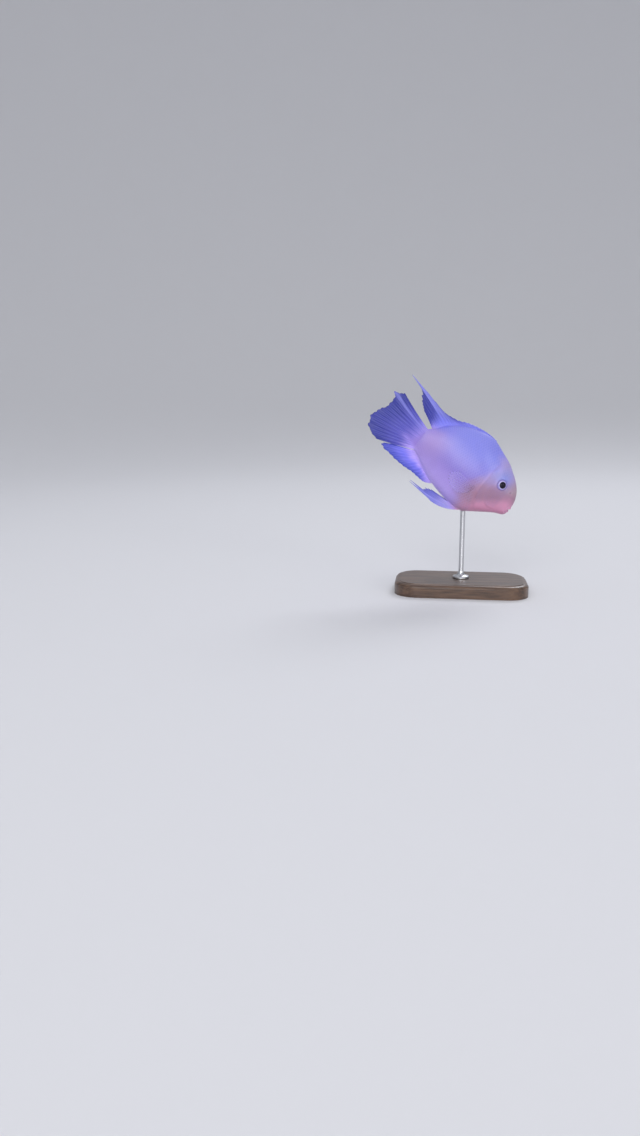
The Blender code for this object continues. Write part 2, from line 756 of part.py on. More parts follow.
def build_stand_rod(finish):
    """Turned steel rod with a foot flange; its end is shaped to the belly."""
    foot = BASE_HEIGHT + GAP
    profile = (
        (FLANGE_RADIUS, foot),
        (FLANGE_RADIUS, foot + FLANGE_HEIGHT * 0.6),
        (FLANGE_RADIUS * 0.86, foot + FLANGE_HEIGHT * 0.9),
        (ROD_RADIUS * 1.5, foot + FLANGE_HEIGHT),
        (ROD_RADIUS, foot + FLANGE_HEIGHT * 1.6),
    )
    shape = bmesh.new()
    rings = []
    turns = [2.0 * math.pi * side / ROD_SIDES for side in range(ROD_SIDES)]
    for radius, height in profile:
        ring = [Vector((radius * math.cos(turn), radius * math.sin(turn), height)) for turn in turns]
        rings.append([shape.verts.new(point * MM) for point in ring])
    end = []
    for turn in turns:
        across, side = ROD_RADIUS * math.cos(turn), ROD_RADIUS * math.sin(turn)
        end.append(shape.verts.new(Vector((across, side, belly_over(across, side) - GAP)) * MM))
    rings.append(end)
    for lower, upper in zip(rings, rings[1:]):
        for index in range(ROD_SIDES):
            following = (index + 1) % ROD_SIDES
            shape.faces.new((lower[index], lower[following], upper[following], upper[index]))
    shape.faces.new(list(reversed(rings[0])))
    middle = shape.verts.new(Vector((0.0, 0.0, belly_over(0.0, 0.0) - GAP)) * MM)
    for index in range(ROD_SIDES):
        shape.faces.new((end[index], end[(index + 1) % ROD_SIDES], middle))
    bmesh.ops.recalc_face_normals(shape, faces=shape.faces)
    mesh = bpy.data.meshes.new("stand_rod")
    shape.to_mesh(mesh)
    shape.free()
    add_object("stand_rod", mesh, finish)


def build():
    clear_scene()
    skin = material("lavender_skin", (0.40, 0.31, 0.66), 0.42)
    fins = material("violet_fin", (0.14, 0.14, 0.52), 0.38)
    eye = material("dark_eye", (0.012, 0.008, 0.03), 0.12)
    wood = material("dark_wood", (0.09, 0.05, 0.03), 0.45)
    steel = material("brushed_steel", (0.55, 0.56, 0.58), 0.3, 1.0)
    build_head(skin)
    build_torso(skin)
    build_tail_stem(skin)
    build_eyes(eye)
    build_dorsal_fin(fins)
    build_caudal_fin(fins)
    build_anal_fin(fins)
    build_pelvic_fins(fins)
    build_pectoral_fins(fins)
    build_stand_base(wood)
    build_stand_rod(steel)


build()
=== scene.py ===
"""A pale parrot cichlid, life size, swimming nose down on a rod over a wooden base."""
import math

import bpy
import numpy as np
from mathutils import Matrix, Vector


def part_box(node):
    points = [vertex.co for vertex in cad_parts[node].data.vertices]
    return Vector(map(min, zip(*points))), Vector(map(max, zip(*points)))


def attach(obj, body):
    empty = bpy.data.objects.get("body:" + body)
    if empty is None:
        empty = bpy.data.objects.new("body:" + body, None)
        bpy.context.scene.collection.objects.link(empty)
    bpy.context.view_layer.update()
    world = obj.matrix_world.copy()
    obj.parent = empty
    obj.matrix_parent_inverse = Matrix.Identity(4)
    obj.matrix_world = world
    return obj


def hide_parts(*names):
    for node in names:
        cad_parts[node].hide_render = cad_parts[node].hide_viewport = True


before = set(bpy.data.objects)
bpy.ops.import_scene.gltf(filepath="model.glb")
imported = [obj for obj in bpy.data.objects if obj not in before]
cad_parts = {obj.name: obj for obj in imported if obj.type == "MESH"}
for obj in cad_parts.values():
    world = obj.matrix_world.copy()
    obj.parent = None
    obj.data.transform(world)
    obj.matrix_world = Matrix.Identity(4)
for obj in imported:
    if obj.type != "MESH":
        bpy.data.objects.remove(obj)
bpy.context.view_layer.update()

# Viewpoint
# A hand-held camera looked a little down through the front of the water, with the fish right of
# the middle and above it. The focal length is that of a wide phone lens, in pixels of the frame.
FRAME_WIDTH = 640
FRAME_HEIGHT = 1136
FOCAL_PIXELS = 858.0
SENSOR = 36.0
CAMERA_PITCH = math.radians(-11.0)
FISH_PIXEL = (442.5, 445.0)
METRES_PER_PIXEL = 0.0006  # at the fish
FISH_MIDDLE = Vector((-0.0133, 0.0, 0.089))

pixels_right = FISH_PIXEL[0] - FRAME_WIDTH / 2
pixels_up = FRAME_HEIGHT / 2 - FISH_PIXEL[1]
ahead = FOCAL_PIXELS * math.cos(CAMERA_PITCH) - pixels_up * math.sin(CAMERA_PITCH)
rise = FOCAL_PIXELS * math.sin(CAMERA_PITCH) + pixels_up * math.cos(CAMERA_PITCH)
back_off = Vector((0.0, math.hypot(pixels_right, ahead), rise)) * METRES_PER_PIXEL
bpy.ops.object.camera_add(location=FISH_MIDDLE - back_off)
camera = bpy.context.object
camera.rotation_euler = (math.pi / 2 + CAMERA_PITCH, 0.0, math.atan2(pixels_right, ahead))
camera.data.sensor_width = SENSOR
camera.data.lens = FOCAL_PIXELS / FRAME_HEIGHT * SENSOR
camera.data.clip_start = 0.01
bpy.context.scene.camera = camera

# Room
# A pale floor that curves up into a pale wall all round, so that no edge shows from any side.
FLOOR_RADIUS = 0.9
COVE_RADIUS = 2.1
WALL_HEIGHT = 3.1
COVE_STEPS = 24
PAPER_COLOUR = (0.68, 0.68, 0.7, 1)

bpy.ops.mesh.primitive_circle_add(vertices=96, radius=FLOOR_RADIUS, fill_type="NGON")
studio = bpy.context.object
studio.name = "studio"
bpy.ops.object.mode_set(mode="EDIT")
bpy.ops.mesh.select_all(action="DESELECT")
bpy.ops.mesh.select_mode(type="EDGE")
bpy.ops.mesh.select_non_manifold()
reach, height = FLOOR_RADIUS, 0.0
for step in range(1, COVE_STEPS + 1):
    turn = math.pi / 2 * step / COVE_STEPS
    new_reach = FLOOR_RADIUS + COVE_RADIUS * math.sin(turn)
    new_height = COVE_RADIUS * (1 - math.cos(turn))
    bpy.ops.mesh.extrude_edges_move(TRANSFORM_OT_translate={"value": (0, 0, new_height - height)})
    bpy.ops.transform.resize(value=(new_reach / reach, new_reach / reach, 1))
    reach, height = new_reach, new_height
bpy.ops.mesh.extrude_edges_move(TRANSFORM_OT_translate={"value": (0, 0, WALL_HEIGHT - height)})
bpy.ops.mesh.select_all(action="SELECT")
bpy.ops.mesh.normals_make_consistent(inside=True)
bpy.ops.object.mode_set(mode="OBJECT")
bpy.ops.object.shade_smooth()
paper = bpy.data.materials.new("pale_paper")
paper.use_nodes = True
paper_shader = paper.node_tree.nodes["Principled BSDF"]
paper_shader.inputs["Base Color"].default_value = PAPER_COLOUR
paper_shader.inputs["Roughness"].default_value = 0.9
paper_shader.inputs["Specular IOR Level"].default_value = 0.1
studio.data.materials.append(paper)

# Light
# One broad soft lamp high in front, weaker ones low in front for the belly and from the right,
# and one behind for the edges of the fins, over an even pale sky.
LAMPS = (
    ("key_lamp", (-0.35, -1.7, 0.95), 1.2, 3.6, (0.97, 0.98, 1.0)),
    ("low_lamp", (0.1, -1.5, 0.1), 0.9, 3.0, (1.0, 0.97, 0.97)),
    ("fill_lamp", (1.4, -1.3, 0.4), 1.0, 2.9, (1.0, 0.98, 0.97)),
    ("back_lamp", (0.5, 1.3, 1.3), 0.9, 3.2, (0.92, 0.94, 1.0)),
)
LAMP_SPREAD = math.radians(90.0)  # honeycombs keep the floor under the lamps dim
SKY_COLOUR = (0.93, 0.95, 1.0, 1)
SKY_STRENGTH = 0.8
for lamp_name, lamp_place, lamp_size, lamp_power, lamp_colour in LAMPS:
    towards = FISH_MIDDLE - Vector(lamp_place)
    bpy.ops.object.light_add(type="AREA", location=lamp_place)
    lamp = bpy.context.object
    lamp.name = lamp_name
    lamp.rotation_euler = towards.to_track_quat("-Z", "Y").to_euler()
    lamp.data.shape = "DISK"
    lamp.data.size = lamp_size
    lamp.data.energy = lamp_power
    lamp.data.spread = LAMP_SPREAD
    lamp.data.color = lamp_colour
    lamp.visible_camera = False
sky = bpy.data.worlds.new("sky")
bpy.context.scene.world = sky
sky.use_nodes = True
sky_light = sky.node_tree.nodes["Background"]
sky_light.inputs["Color"].default_value = SKY_COLOUR
sky_light.inputs["Strength"].default_value = SKY_STRENGTH
bpy.context.scene.view_settings.view_transform = "Standard"

# Wooden base
# A plate of dark stained hardwood, sawn to a rounded oblong, with an ogee run round its upper
# edge and a satin lacquer. It carries the rod's foot.
BASE_LENGTH = 0.08
BASE_WIDTH = 0.048
BASE_HEIGHT = 0.008
BASE_CORNER = 0.014
EDGE_MOULDING = (  # insets and lifts of the ogee, from the outside in
    (0.00025, 0.0), (0.0002, 0.00045), (0.0004, 0.00055), (0.0007, 0.0005), (0.0009, 0.00022),
    (0.0006, 0.00004), (0.00012, 0.0003),
)
TOP_BORDER = 0.0006  # flat strips round the upper face and the underside
UNDERSIDE_BORDER = 0.0005
SMOOTH_UP_TO = math.radians(35)
GRAIN_SCALE = (18.0, 150.0, 150.0)
PORES_SCALE = (90.0, 1500.0, 1500.0)
WOOD_DARK = (0.03, 0.016, 0.01, 1)
WOOD_MIDDLE = (0.085, 0.045, 0.026, 1)
WOOD_PALE = (0.15, 0.085, 0.05, 1)


class Value:
    """A node socket; arithmetic on it adds Math nodes to its material."""

    def __init__(self, tree, socket):
        self.tree = tree
        self.socket = socket

    def add(self, kind, settings=None, sockets=None, output=0):
        """Any node, with its settings, then the values or links of its sockets."""
        node = self.tree.nodes.new(kind)
        for name, setting in (settings or {}).items():
            if name == "stops":
                ramp = node.color_ramp
                while len(ramp.elements) < len(setting):
                    ramp.elements.new(1.0)
                for element, (place, colour) in zip(ramp.elements, setting):
                    element.position = place
                    element.color = colour
            else:
                setattr(node, name, setting)
        for name, given in (sockets or {}).items():
            if isinstance(given, Value):
                self.tree.links.new(given.socket, node.inputs[name])
            else:
                node.inputs[name].default_value = given
        return Value(self.tree, node.outputs[output])

    def maths(self, operation, *others, clamp=False):
        settings = {"operation": operation, "use_clamp": clamp}
        return self.add("ShaderNodeMath", settings, dict(enumerate((self, *others))))

    def __add__(self, other):
        return self.maths("ADD", other)

    def __sub__(self, other):
        return self.maths("SUBTRACT", other)

    def __rsub__(self, other):
        return self.maths("MULTIPLY_ADD", -1.0, other)

    def __mul__(self, other):
        return self.maths("MULTIPLY", other)

    __radd__ = __add__
    __rmul__ = __mul__

    def clamped(self):
        return self.maths("ADD", 0.0, clamp=True)

    def between(self, low, high):
        """A soft step from 0 at low to 1 at high."""
        settings = {"interpolation_type": "SMOOTHSTEP"}
        sockets = {"Value": self, "From Min": low, "From Max": high}
        return self.add("ShaderNodeMapRange", settings, sockets)

    def bell(self, middle, width):
        """1 at the middle, fading over the width."""
        away = (self - middle) * (1.0 / width)
        return (0.0 - away * away).maths("EXPONENT")

    def mix(self, first, second):
        """From the first colour, where this is 0, to the second, where it is 1."""
        settings = {"data_type": "RGBA"}
        return self.add("ShaderNodeMix", settings, {0: self, 6: first, 7: second}, 2)

    def stretched(self, scale):
        """A place scaled along each axis."""
        return self.add("ShaderNodeMapping", None, {"Vector": self, "Scale": scale})

    def noise(self, scale, detail=3.0, roughness=0.5):
        sockets = {"Vector": self, "Scale": scale, "Detail": detail, "Roughness": roughness}
        return self.add("ShaderNodeTexNoise", None, sockets)


def new_finish(name, sockets):
    """A material, its shader with those sockets set, and Object coordinates for its patterns."""
    made = bpy.data.materials.new(name)
    made.use_nodes = True
    tree = made.node_tree
    shader = tree.nodes["Principled BSDF"]
    for socket, setting in sockets.items():
        shader.inputs[socket].default_value = setting
    place = Value(tree, tree.nodes.new("ShaderNodeTexCoord").outputs["Object"])
    return made, shader, place


def feed(shader, socket, value):
    """Links a worked-out value to one of the shader's sockets."""
    value.tree.links.new(value.socket, shader.inputs[socket])


def roughen(shader, height, strength, distance):
    """Bump from a height value."""
    sockets = {"Height": height, "Strength": strength, "Distance": distance}
    feed(shader, "Normal", height.add("ShaderNodeBump", None, sockets))


def keep_in_place(piece):
    """Moves the object's place, turn and scale into its mesh."""
    bpy.ops.object.select_all(action="DESELECT")
    piece.select_set(True)
    bpy.context.view_layer.objects.active = piece
    bpy.ops.object.transform_apply(location=True, rotation=True, scale=True)


def finished(piece, name, finish, slot, *nodes):
    """Names a piece, gives it its material, and ties it to the model."""
    keep_in_place(piece)
    piece.name = name
    piece.data.name = name
    piece.data.materials.clear()
    piece.data.materials.append(finish)
    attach(piece, "root")
    if nodes:
        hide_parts(*nodes)


def point_outwards(merge_within=0.0):
    """Merges doubled vertices of the active mesh, if asked, and points its faces outwards."""
    bpy.ops.object.mode_set(mode="EDIT")
    bpy.ops.mesh.select_all(action="SELECT")
    if merge_within:
        bpy.ops.mesh.remove_doubles(threshold=merge_within)
    bpy.ops.mesh.normals_make_consistent(inside=False)
    bpy.ops.object.mode_set(mode="OBJECT")


wood, wood_shader, wood_place = new_finish("dark_hardwood", {"Coat Weight": 0.35, "Coat Roughness": 0.22})
grain = wood_place.stretched(GRAIN_SCALE).noise(2.2, 6.0, 0.62)
pores = wood_place.stretched(PORES_SCALE).noise(1.0, 2.0)
wood_colour = wood_place.add(
    "ShaderNodeValToRGB",
    {"stops": ((0.3, WOOD_DARK), (0.5, WOOD_MIDDLE), (0.72, WOOD_PALE))},
    {"Fac": grain + (pores - 0.5) * 0.25})
feed(wood_shader, "Base Color", wood_colour)
feed(wood_shader, "Roughness", 0.3 + pores * 0.22)
roughen(wood_shader, pores + grain * 0.5, 0.18, 0.0004)


def pick(piece, kind, wanted):
    """Selects the edges or faces for which wanted is true, and nothing else."""
    bpy.ops.object.mode_set(mode="OBJECT")
    bpy.context.tool_settings.mesh_select_mode = (False, kind == "edges", kind == "polygons")
    for part in (piece.data.vertices, piece.data.edges, piece.data.polygons):
        part.foreach_set("select", [False] * len(part))
    for part in getattr(piece.data, kind):
        part.select = wanted(part)
    bpy.ops.object.mode_set(mode="EDIT")


def upright(edge):
    low, high = (base.data.vertices[index].co.z for index in edge.vertices)
    return abs(high - low) > BASE_HEIGHT / 2


bpy.ops.mesh.primitive_cube_add(size=1, location=(0, 0, BASE_HEIGHT / 2))
base = bpy.context.object
base.scale = (BASE_LENGTH, BASE_WIDTH, BASE_HEIGHT)
keep_in_place(base)
pick(base, "edges", upright)
bpy.ops.mesh.bevel(offset=BASE_CORNER, segments=24)
pick(base, "polygons", lambda face: face.normal.z > 0.9)
bpy.ops.transform.translate(value=(0, 0, -sum(lift for _, lift in EDGE_MOULDING)))
for inset, lift in EDGE_MOULDING:
    bpy.ops.mesh.inset(thickness=inset)
    bpy.ops.transform.translate(value=(0, 0, lift))
bpy.ops.mesh.inset(thickness=TOP_BORDER)
pick(base, "polygons", lambda face: face.normal.z < -0.9)
bpy.ops.mesh.inset(thickness=UNDERSIDE_BORDER)
bpy.ops.transform.resize(value=(0.99, 0.99, 1))
bpy.ops.object.mode_set(mode="OBJECT")
bpy.ops.object.shade_smooth_by_angle(angle=SMOOTH_UP_TO)
finished(base, "stand_plate", wood, "base_wood", "stand_base")

# Steel rod
# A brushed steel rod, turned to a wider foot that is screwed to the base from below. Its upper end
# stands a little way inside the belly.
ROD_RADIUS = 0.0015
FOOT_RADIUS = 0.005
FOOT_GAP = 0.0003  # between the base and the foot
ROD_SIDES = 64
ROD_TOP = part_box("stand_rod")[1].z
ROD_PROFILE = (  # radius and height of the foot, from its underside to the plain rod
    (FOOT_RADIUS, 0.0), (FOOT_RADIUS, 0.0008), (0.0047, 0.0012), (0.004, 0.0014), (0.0032, 0.0015),
    (0.0026, 0.0019), (0.0021, 0.0026), (0.0017, 0.0034), (ROD_RADIUS, 0.0046),
)
BRUSHING_SCALE = (300.0, 300.0, 9000.0)
STEEL_DARK = (0.42, 0.43, 0.45, 1)
STEEL_PALE = (0.66, 0.67, 0.69, 1)

steel, steel_shader, steel_place = new_finish("brushed_steel", {"Metallic": 1.0})
brushing = steel_place.stretched(BRUSHING_SCALE).noise(1.0, 3.0, 0.6)
feed(steel_shader, "Base Color", brushing.mix(STEEL_DARK, STEEL_PALE))
feed(steel_shader, "Roughness", 0.24 + brushing * 0.18)
roughen(steel_shader, brushing, 0.12, 0.0002)

bpy.ops.mesh.primitive_circle_add(
    vertices=ROD_SIDES, radius=FOOT_RADIUS, fill_type="NGON", location=(0, 0, BASE_HEIGHT + FOOT_GAP))
rod = bpy.context.object
keep_in_place(rod)
bpy.ops.object.mode_set(mode="EDIT")
bpy.ops.mesh.select_all(action="SELECT")
for (near_radius, near_height), (far_radius, far_height) in zip(ROD_PROFILE, ROD_PROFILE[1:]):
    bpy.ops.mesh.extrude_region_move(TRANSFORM_OT_translate={"value": (0, 0, far_height - near_height)})
    ratio = far_radius / near_radius
    bpy.ops.transform.resize(value=(ratio, ratio, 1))
rod_rise = ROD_TOP - BASE_HEIGHT - FOOT_GAP - ROD_PROFILE[-1][1]
bpy.ops.mesh.extrude_region_move(TRANSFORM_OT_translate={"value": (0, 0, rod_rise)})
point_outwards()
bpy.ops.object.shade_smooth_by_angle(angle=SMOOTH_UP_TO)
finished(rod, "stand_shaft", steel, "rod_steel", "stand_rod")

# Skin
# One skin from the lips to the root of the tail fin: lavender white, bluer on the back, rose on
# the throat. It is drawn over a deep, flat-sided body with a steep forehead. Measures are in
# millimetres along the fish towards its tail, to its left, and high towards its back.
NOSE_DOWN = math.radians(33.0)
BODY_AXIS_OVER_FLOOR = 56.0
ROD_TO_SNOUT = 29.7
MM = 0.001
BODY_STATIONS = (
    (-0.76, -5.9, -0.76, -5.9, 0.0, 0.5),
    (-1.15, -4.36, -0.66, -7.42, 2.1, 0.49),
    (-1.08, -1.8, -0.3, -9.1, 3.3, 0.54),
    (-0.2, 1.98, 1.3, -10.55, 4.7, 0.61),
    (2.0, 6.25, 5.05, -11.92, 6.4, 0.56),
    (5.51, 10.22, 9.25, -14.22, 8.2, 0.54),
    (9.98, 13.75, 13.45, -16.72, 9.8, 0.54),
    (14.94, 17.2, 18.05, -19.42, 10.9, 0.54),
    (21.7, 20.34, 24.0, -22.4, 11.6, 0.54),
    (30.0, 23.7, 32.0, -21.9, 11.5, 0.54),
    (39.0, 23.4, 41.0, -19.8, 10.5, 0.53),
    (48.0, 21.2, 49.5, -16.9, 8.6, 0.52),
    (56.0, 16.8, 57.0, -12.8, 6.0, 0.51),
    (62.0, 11.0, 62.5, -9.6, 3.7, 0.5),
    (66.5, 7.3, 67.0, -7.4, 1.9, 0.5),
)
LAST_STATION = len(BODY_STATIONS) - 1
BACK_POINTEDNESS = 0.25
BELLY_FULLNESS = 0.2
GILL_EDGE_STATION = 7.85
NAPE_SET_FORWARD = 0.3
THROAT_SET_FORWARD = 1.25
SNOUT_ROUNDING = 1.1  # how far the snout's sides fall back behind its middle
SNOUT_ROUNDED_STATION = 2.0
SNOUT_END_STATION = 4.5
MOUTH_DROOP = math.radians(30.0)
MOUTH_END_STATION = 2.5
EYE = (11.8, 4.5)
EYE_RADIUS = 3.3
NOSTRIL = (4.9, 3.1)
NOSTRIL_RADIUS = 0.36
NOSTRIL_DEPTH = 0.75
LIP_HEIGHT = 0.5
LIP_SPACING = 1.1  # from the mouth's line to the crest of a lip
LIP_WIDTH = 0.62
MOUTH_DEPTH = 0.8
MOUTH_WIDTH = 0.28
GILL_COVER_RISE = 0.15
CHEEK_MIDDLE = (10.2, -3.2)  # of the arc along which the cheek plate ends
CHEEK_RIDGE = 6.9  # radius of that plate's rim, and of the groove behind it
CHEEK_GROOVE = 8.1
ORBIT_RISE = 0.26
SOCKET_RADIUS = 2.8
SOCKET_DEPTH = 1.5
SKIN_COLUMNS = 288
SKIN_RINGS = 330
CAP_RINGS = 6  # last rings, drawn together over the end of the tail stem


def with_end_knots(rows):
    """The rows with one more at each end, in line with the last two."""
    rows = np.array(rows, dtype=float)
    return np.vstack((2 * rows[0] - rows[1], rows, 2 * rows[-1] - rows[-2]))


def smooth_through(knots, position):
    """Values at fractional indices of a smooth curve through the knots."""
    position = np.asarray(position, dtype=float)
    start = np.clip(np.floor(position).astype(int), 0, len(knots) - 4)
    share = (position - start)[..., None]
    before, here, after, beyond = (knots[start + index] for index in range(4))
    linear = after - before
    square = 2 * before - 5 * here + 4 * after - beyond
    cube = 3 * here - before - 3 * after + beyond
    return 0.5 * (2 * here + linear * share + square * share ** 2 + cube * share ** 3)


# Before the lips the sections turn over, so that the snout closes in a round end.
body_knots = with_end_knots(BODY_STATIONS)
second_station = body_knots[2].copy()
body_knots[0] = second_station[[2, 3, 0, 1, 4, 5]] * (1, 1, 1, 1, -1, 1)


def ease(value):
    value = np.clip(value, 0.0, 1.0)
    return value * value * (3.0 - 2.0 * value)


def bell(distance, width):
    return np.exp(-(distance / width) ** 2)


def body_points(station, around):
    """Smooth body at stations and angles from the back, growing down the left side."""
    station, around = np.broadcast_arrays(np.asarray(station, float), np.asarray(around, float))
    rows = smooth_through(body_knots, station)
    back_s, back_h, belly_s, belly_h, half, share = (rows[..., index] for index in range(6))
    shaping = ease(station / 5.0) * np.cos(around) ** 2
    upper = np.cos(around) >= 0.0
    above = 2.0 / (2.0 - BACK_POINTEDNESS * shaping)
    below = 2.0 / (2.0 + BELLY_FULLNESS * shaping)
    exponent = np.where(upper, above, below)
    reach = np.abs(np.cos(around)) ** exponent
    down = np.where(upper, share * (1.0 - reach), share + (1.0 - share) * reach)
    side = half * np.sign(np.sin(around)) * np.abs(np.sin(around)) ** exponent
    fading = (station - SNOUT_ROUNDED_STATION) / (SNOUT_END_STATION - SNOUT_ROUNDED_STATION)
    set_back = SNOUT_ROUNDING * ease(station / SNOUT_ROUNDED_STATION) * (1.0 - ease(fading))
    along = back_s + down * (belly_s - back_s) + set_back * np.sin(around) ** 2
    high = back_h + down * (belly_h - back_h)
    return np.stack((along, side, high), axis=-1)


def body_normals(station, around):
    """Outward directions of the smooth body."""
    step = 0.02
    station = np.maximum(np.asarray(station, float), step)
    lengthways = body_points(station + step, around) - body_points(station - step, around)
    sideways = body_points(station, around + step) - body_points(station, around - step)
    normals = np.cross(lengthways, sideways)
    return normals / np.linalg.norm(normals, axis=-1, keepdims=True)


def to_world(points):
    """Metres in the room from millimetres on the fish."""
    along, side, high = (points[..., index] for index in range(3))
    across = ROD_TO_SNOUT - along * math.cos(NOSE_DOWN) + high * math.sin(NOSE_DOWN)
    up = BODY_AXIS_OVER_FLOOR + along * math.sin(NOSE_DOWN) + high * math.cos(NOSE_DOWN)
    return np.stack((across, side, up), axis=-1) * MM


def gill_edge(around):
    """Station of the rear edge of the gill cover."""
    upward = np.maximum(np.cos(around), 0.0)
    downward = np.maximum(-np.cos(around), 0.0)
    return GILL_EDGE_STATION - NAPE_SET_FORWARD * upward ** 2 - THROAT_SET_FORWARD * downward ** 2


def mouth_angle(station):
    return math.pi / 2 + MOUTH_DROOP * ease(station / MOUTH_END_STATION)


mouth_stations = np.linspace(0.0, MOUTH_END_STATION, 60)
mouth_line = body_points(mouth_stations, mouth_angle(mouth_stations))


def from_mouth(points):
    """Distance of places from the mouth's line, and the share of it at the nearest place."""
    left = points * (1.0, 0.0, 1.0) + np.abs(points) * (0.0, 1.0, 0.0)
    distance = np.full(left.shape[:-1], 1e3)
    nearest = np.zeros(left.shape[:-1])
    for index, place in enumerate(mouth_line):
        here = np.linalg.norm(left - place, axis=-1)
        nearest = np.where(here < distance, index / (len(mouth_line) - 1), nearest)
        distance = np.minimum(distance, here)
    return distance, nearest


def off(middle, points):
    """Distance of places from one on the side of the fish, seen from there."""
    return np.hypot(points[..., 0] - middle[0], points[..., 2] - middle[1])


def flankness(around):
    """From 0 on the back and the belly to 1 on the flanks."""
    return ease((np.abs(np.sin(around)) - 0.42) / 0.42)


def head_relief(station, around, points):
    """Lips, gill cover, cheek, eye socket and nostril."""
    along, high = points[..., 0], points[..., 2]
    distance, nearest = from_mouth(points)
    relief = LIP_HEIGHT * bell(distance - LIP_SPACING, LIP_WIDTH) * (1.0 - 0.75 * nearest)
    relief = relief - MOUTH_DEPTH * bell(distance, MOUTH_WIDTH) * (1.0 - 0.6 * nearest)
    relief = relief - 0.07 * bell(distance - 2.4, 0.6)
    behind = station - gill_edge(around)
    cover = GILL_COVER_RISE * ease(behind + 1.0) * (1.0 - ease((behind + 0.03) / 0.17))
    relief = relief + flankness(around) * cover
    from_cheek = np.hypot((along - CHEEK_MIDDLE[0]) * 0.95, high - CHEEK_MIDDLE[1])
    cheek_turn = np.arctan2(CHEEK_MIDDLE[1] - high, along - CHEEK_MIDDLE[0])
    on_arc = ease((cheek_turn + 0.9) / 0.8) * ease((2.4 - cheek_turn) / 0.9)
    on_arc = ease(7.2 - station) * flankness(around) * on_arc
    ridge = 0.13 * bell(from_cheek - CHEEK_RIDGE, 0.9)
    relief = relief + on_arc * (ridge - 0.15 * bell(from_cheek - CHEEK_GROOVE, 0.55))
    from_eye = off(EYE, points)
    relief = relief + ORBIT_RISE * bell(from_eye - EYE_RADIUS - 0.25, 0.5)
    socket = 1.0 - ease((from_eye - SOCKET_RADIUS) / 0.5)
    relief = relief * (1.0 - socket) - SOCKET_DEPTH * socket
    from_nostril = off(NOSTRIL, points)
    relief = relief - NOSTRIL_DEPTH * bell(from_nostril, NOSTRIL_RADIUS)
    return relief + 0.16 * bell(from_nostril - 0.78, 0.3)


def skin_points(station, around):
    """The body with its lips, gill covers, sockets and nostrils."""
    points = body_points(station, around)
    return points + body_normals(station, around) * head_relief(station, around, points)[..., None]


def mesh_arrays(piece):
    """Places of a mesh's vertices, as rows."""
    flat = np.empty(len(piece.data.vertices) * 3, dtype=np.float32)
    piece.data.vertices.foreach_get("co", flat)
    return flat.reshape(-1, 3).astype(float)


def move_vertices(piece, points):
    piece.data.vertices.foreach_set("co", points.astype(np.float32).ravel())
    piece.data.update()


def keep_values(piece, name, values):
    """Stores one number for each vertex, for the materials to read."""
    layer = piece.data.attributes.new(name, "FLOAT", "POINT")
    layer.data.foreach_set("value", np.asarray(values, dtype=np.float32).ravel())


def kept(place, name):
    """A stored number as a socket."""
    return place.add("ShaderNodeAttribute", {"attribute_name": name}, None, 2)


bpy.ops.mesh.primitive_uv_sphere_add(segments=SKIN_COLUMNS, ring_count=SKIN_RINGS, radius=1.0)
skin = bpy.context.object
ball = mesh_arrays(skin)
ring = np.arccos(np.clip(ball[:, 2], -1, 1)) / math.pi * SKIN_RINGS
turn = np.arctan2(ball[:, 1], ball[:, 0])
body_rings = SKIN_RINGS - CAP_RINGS
straight = np.minimum(ring / body_rings, 1.0) * LAST_STATION
front = 1.0 - ease((straight - 2.0) / 3.0)
around = turn + MOUTH_DROOP * ease(straight / MOUTH_END_STATION) * front * np.sin(turn)
near_gills = ease(straight / GILL_EDGE_STATION) * (1.0 - ease((straight - GILL_EDGE_STATION - 1.0) / 4.0))
station = straight + (gill_edge(around) - GILL_EDGE_STATION) * near_gills
shaped = skin_points(station, around)
end_middle = body_points(float(LAST_STATION), np.array([0.0, math.pi])).mean(axis=0)
drawn_in = np.clip((ring - body_rings) / CAP_RINGS, 0, 1)[:, None]
rounded = np.sqrt(1.0 - drawn_in ** 2) * (shaped - end_middle) + end_middle
rounded[:, 0] += 0.5 * drawn_in[:, 0]
move_vertices(skin, to_world(np.where(drawn_in > 0, rounded, shaped)))
# Painted shade: the skin is darkened along the mouth's line, in the nostrils and at the gill cover's rear
# edge, where shade falls in the creases.
crease_shading = bell(from_mouth(shaped)[0], 0.45) + 0.6 * bell(off(NOSTRIL, shaped), 0.45)
crease_shading = crease_shading + 0.24 * flankness(around) * bell(station - gill_edge(around) + 0.05, 0.12)
keep_values(skin, "crease", crease_shading)
point_outwards()
bpy.ops.object.shade_smooth()

BACK_BLUE = (0.21, 0.22, 0.72, 1)
FLANK_LAVENDER = (0.254, 0.172, 0.575, 1)
REAR_MAUVE = (0.385, 0.252, 0.59, 1)
BELLY_LILAC_AND_UNDERLIGHT = (0.47, 0.335, 0.83, 1)
UNDERSIDE_LIGHT_LILAC = (0.5, 0.39, 0.93, 1)
FOREHEAD_LILAC = (0.445, 0.335, 0.59, 1)
CHEEK_MAUVE = (0.34, 0.178, 0.262, 1)
THROAT_ROSE = (0.59, 0.27, 0.43, 1)
SNOUT_PALE = (0.39, 0.272, 0.325, 1)
EYE_HALO = (0.225, 0.265, 0.66, 1)
CREST_BLUE = (0.15, 0.165, 0.72, 1)
CREASE_SHADE_MAUVE = (0.15, 0.08, 0.17, 1)


def fish_place(place):
    """Along and high on the fish, in millimetres, from Object coordinates."""
    split = place.tree.nodes.new("ShaderNodeSeparateXYZ")
    place.tree.links.new(place.socket, split.inputs[0])
    across = Value(place.tree, split.outputs["X"]) * (1 / MM) - ROD_TO_SNOUT
    up = Value(place.tree, split.outputs["Z"]) * (1 / MM) - BODY_AXIS_OVER_FLOOR
    along = up * math.sin(NOSE_DOWN) - across * math.cos(NOSE_DOWN)
    high = across * math.sin(NOSE_DOWN) + up * math.cos(NOSE_DOWN)
    return along, high


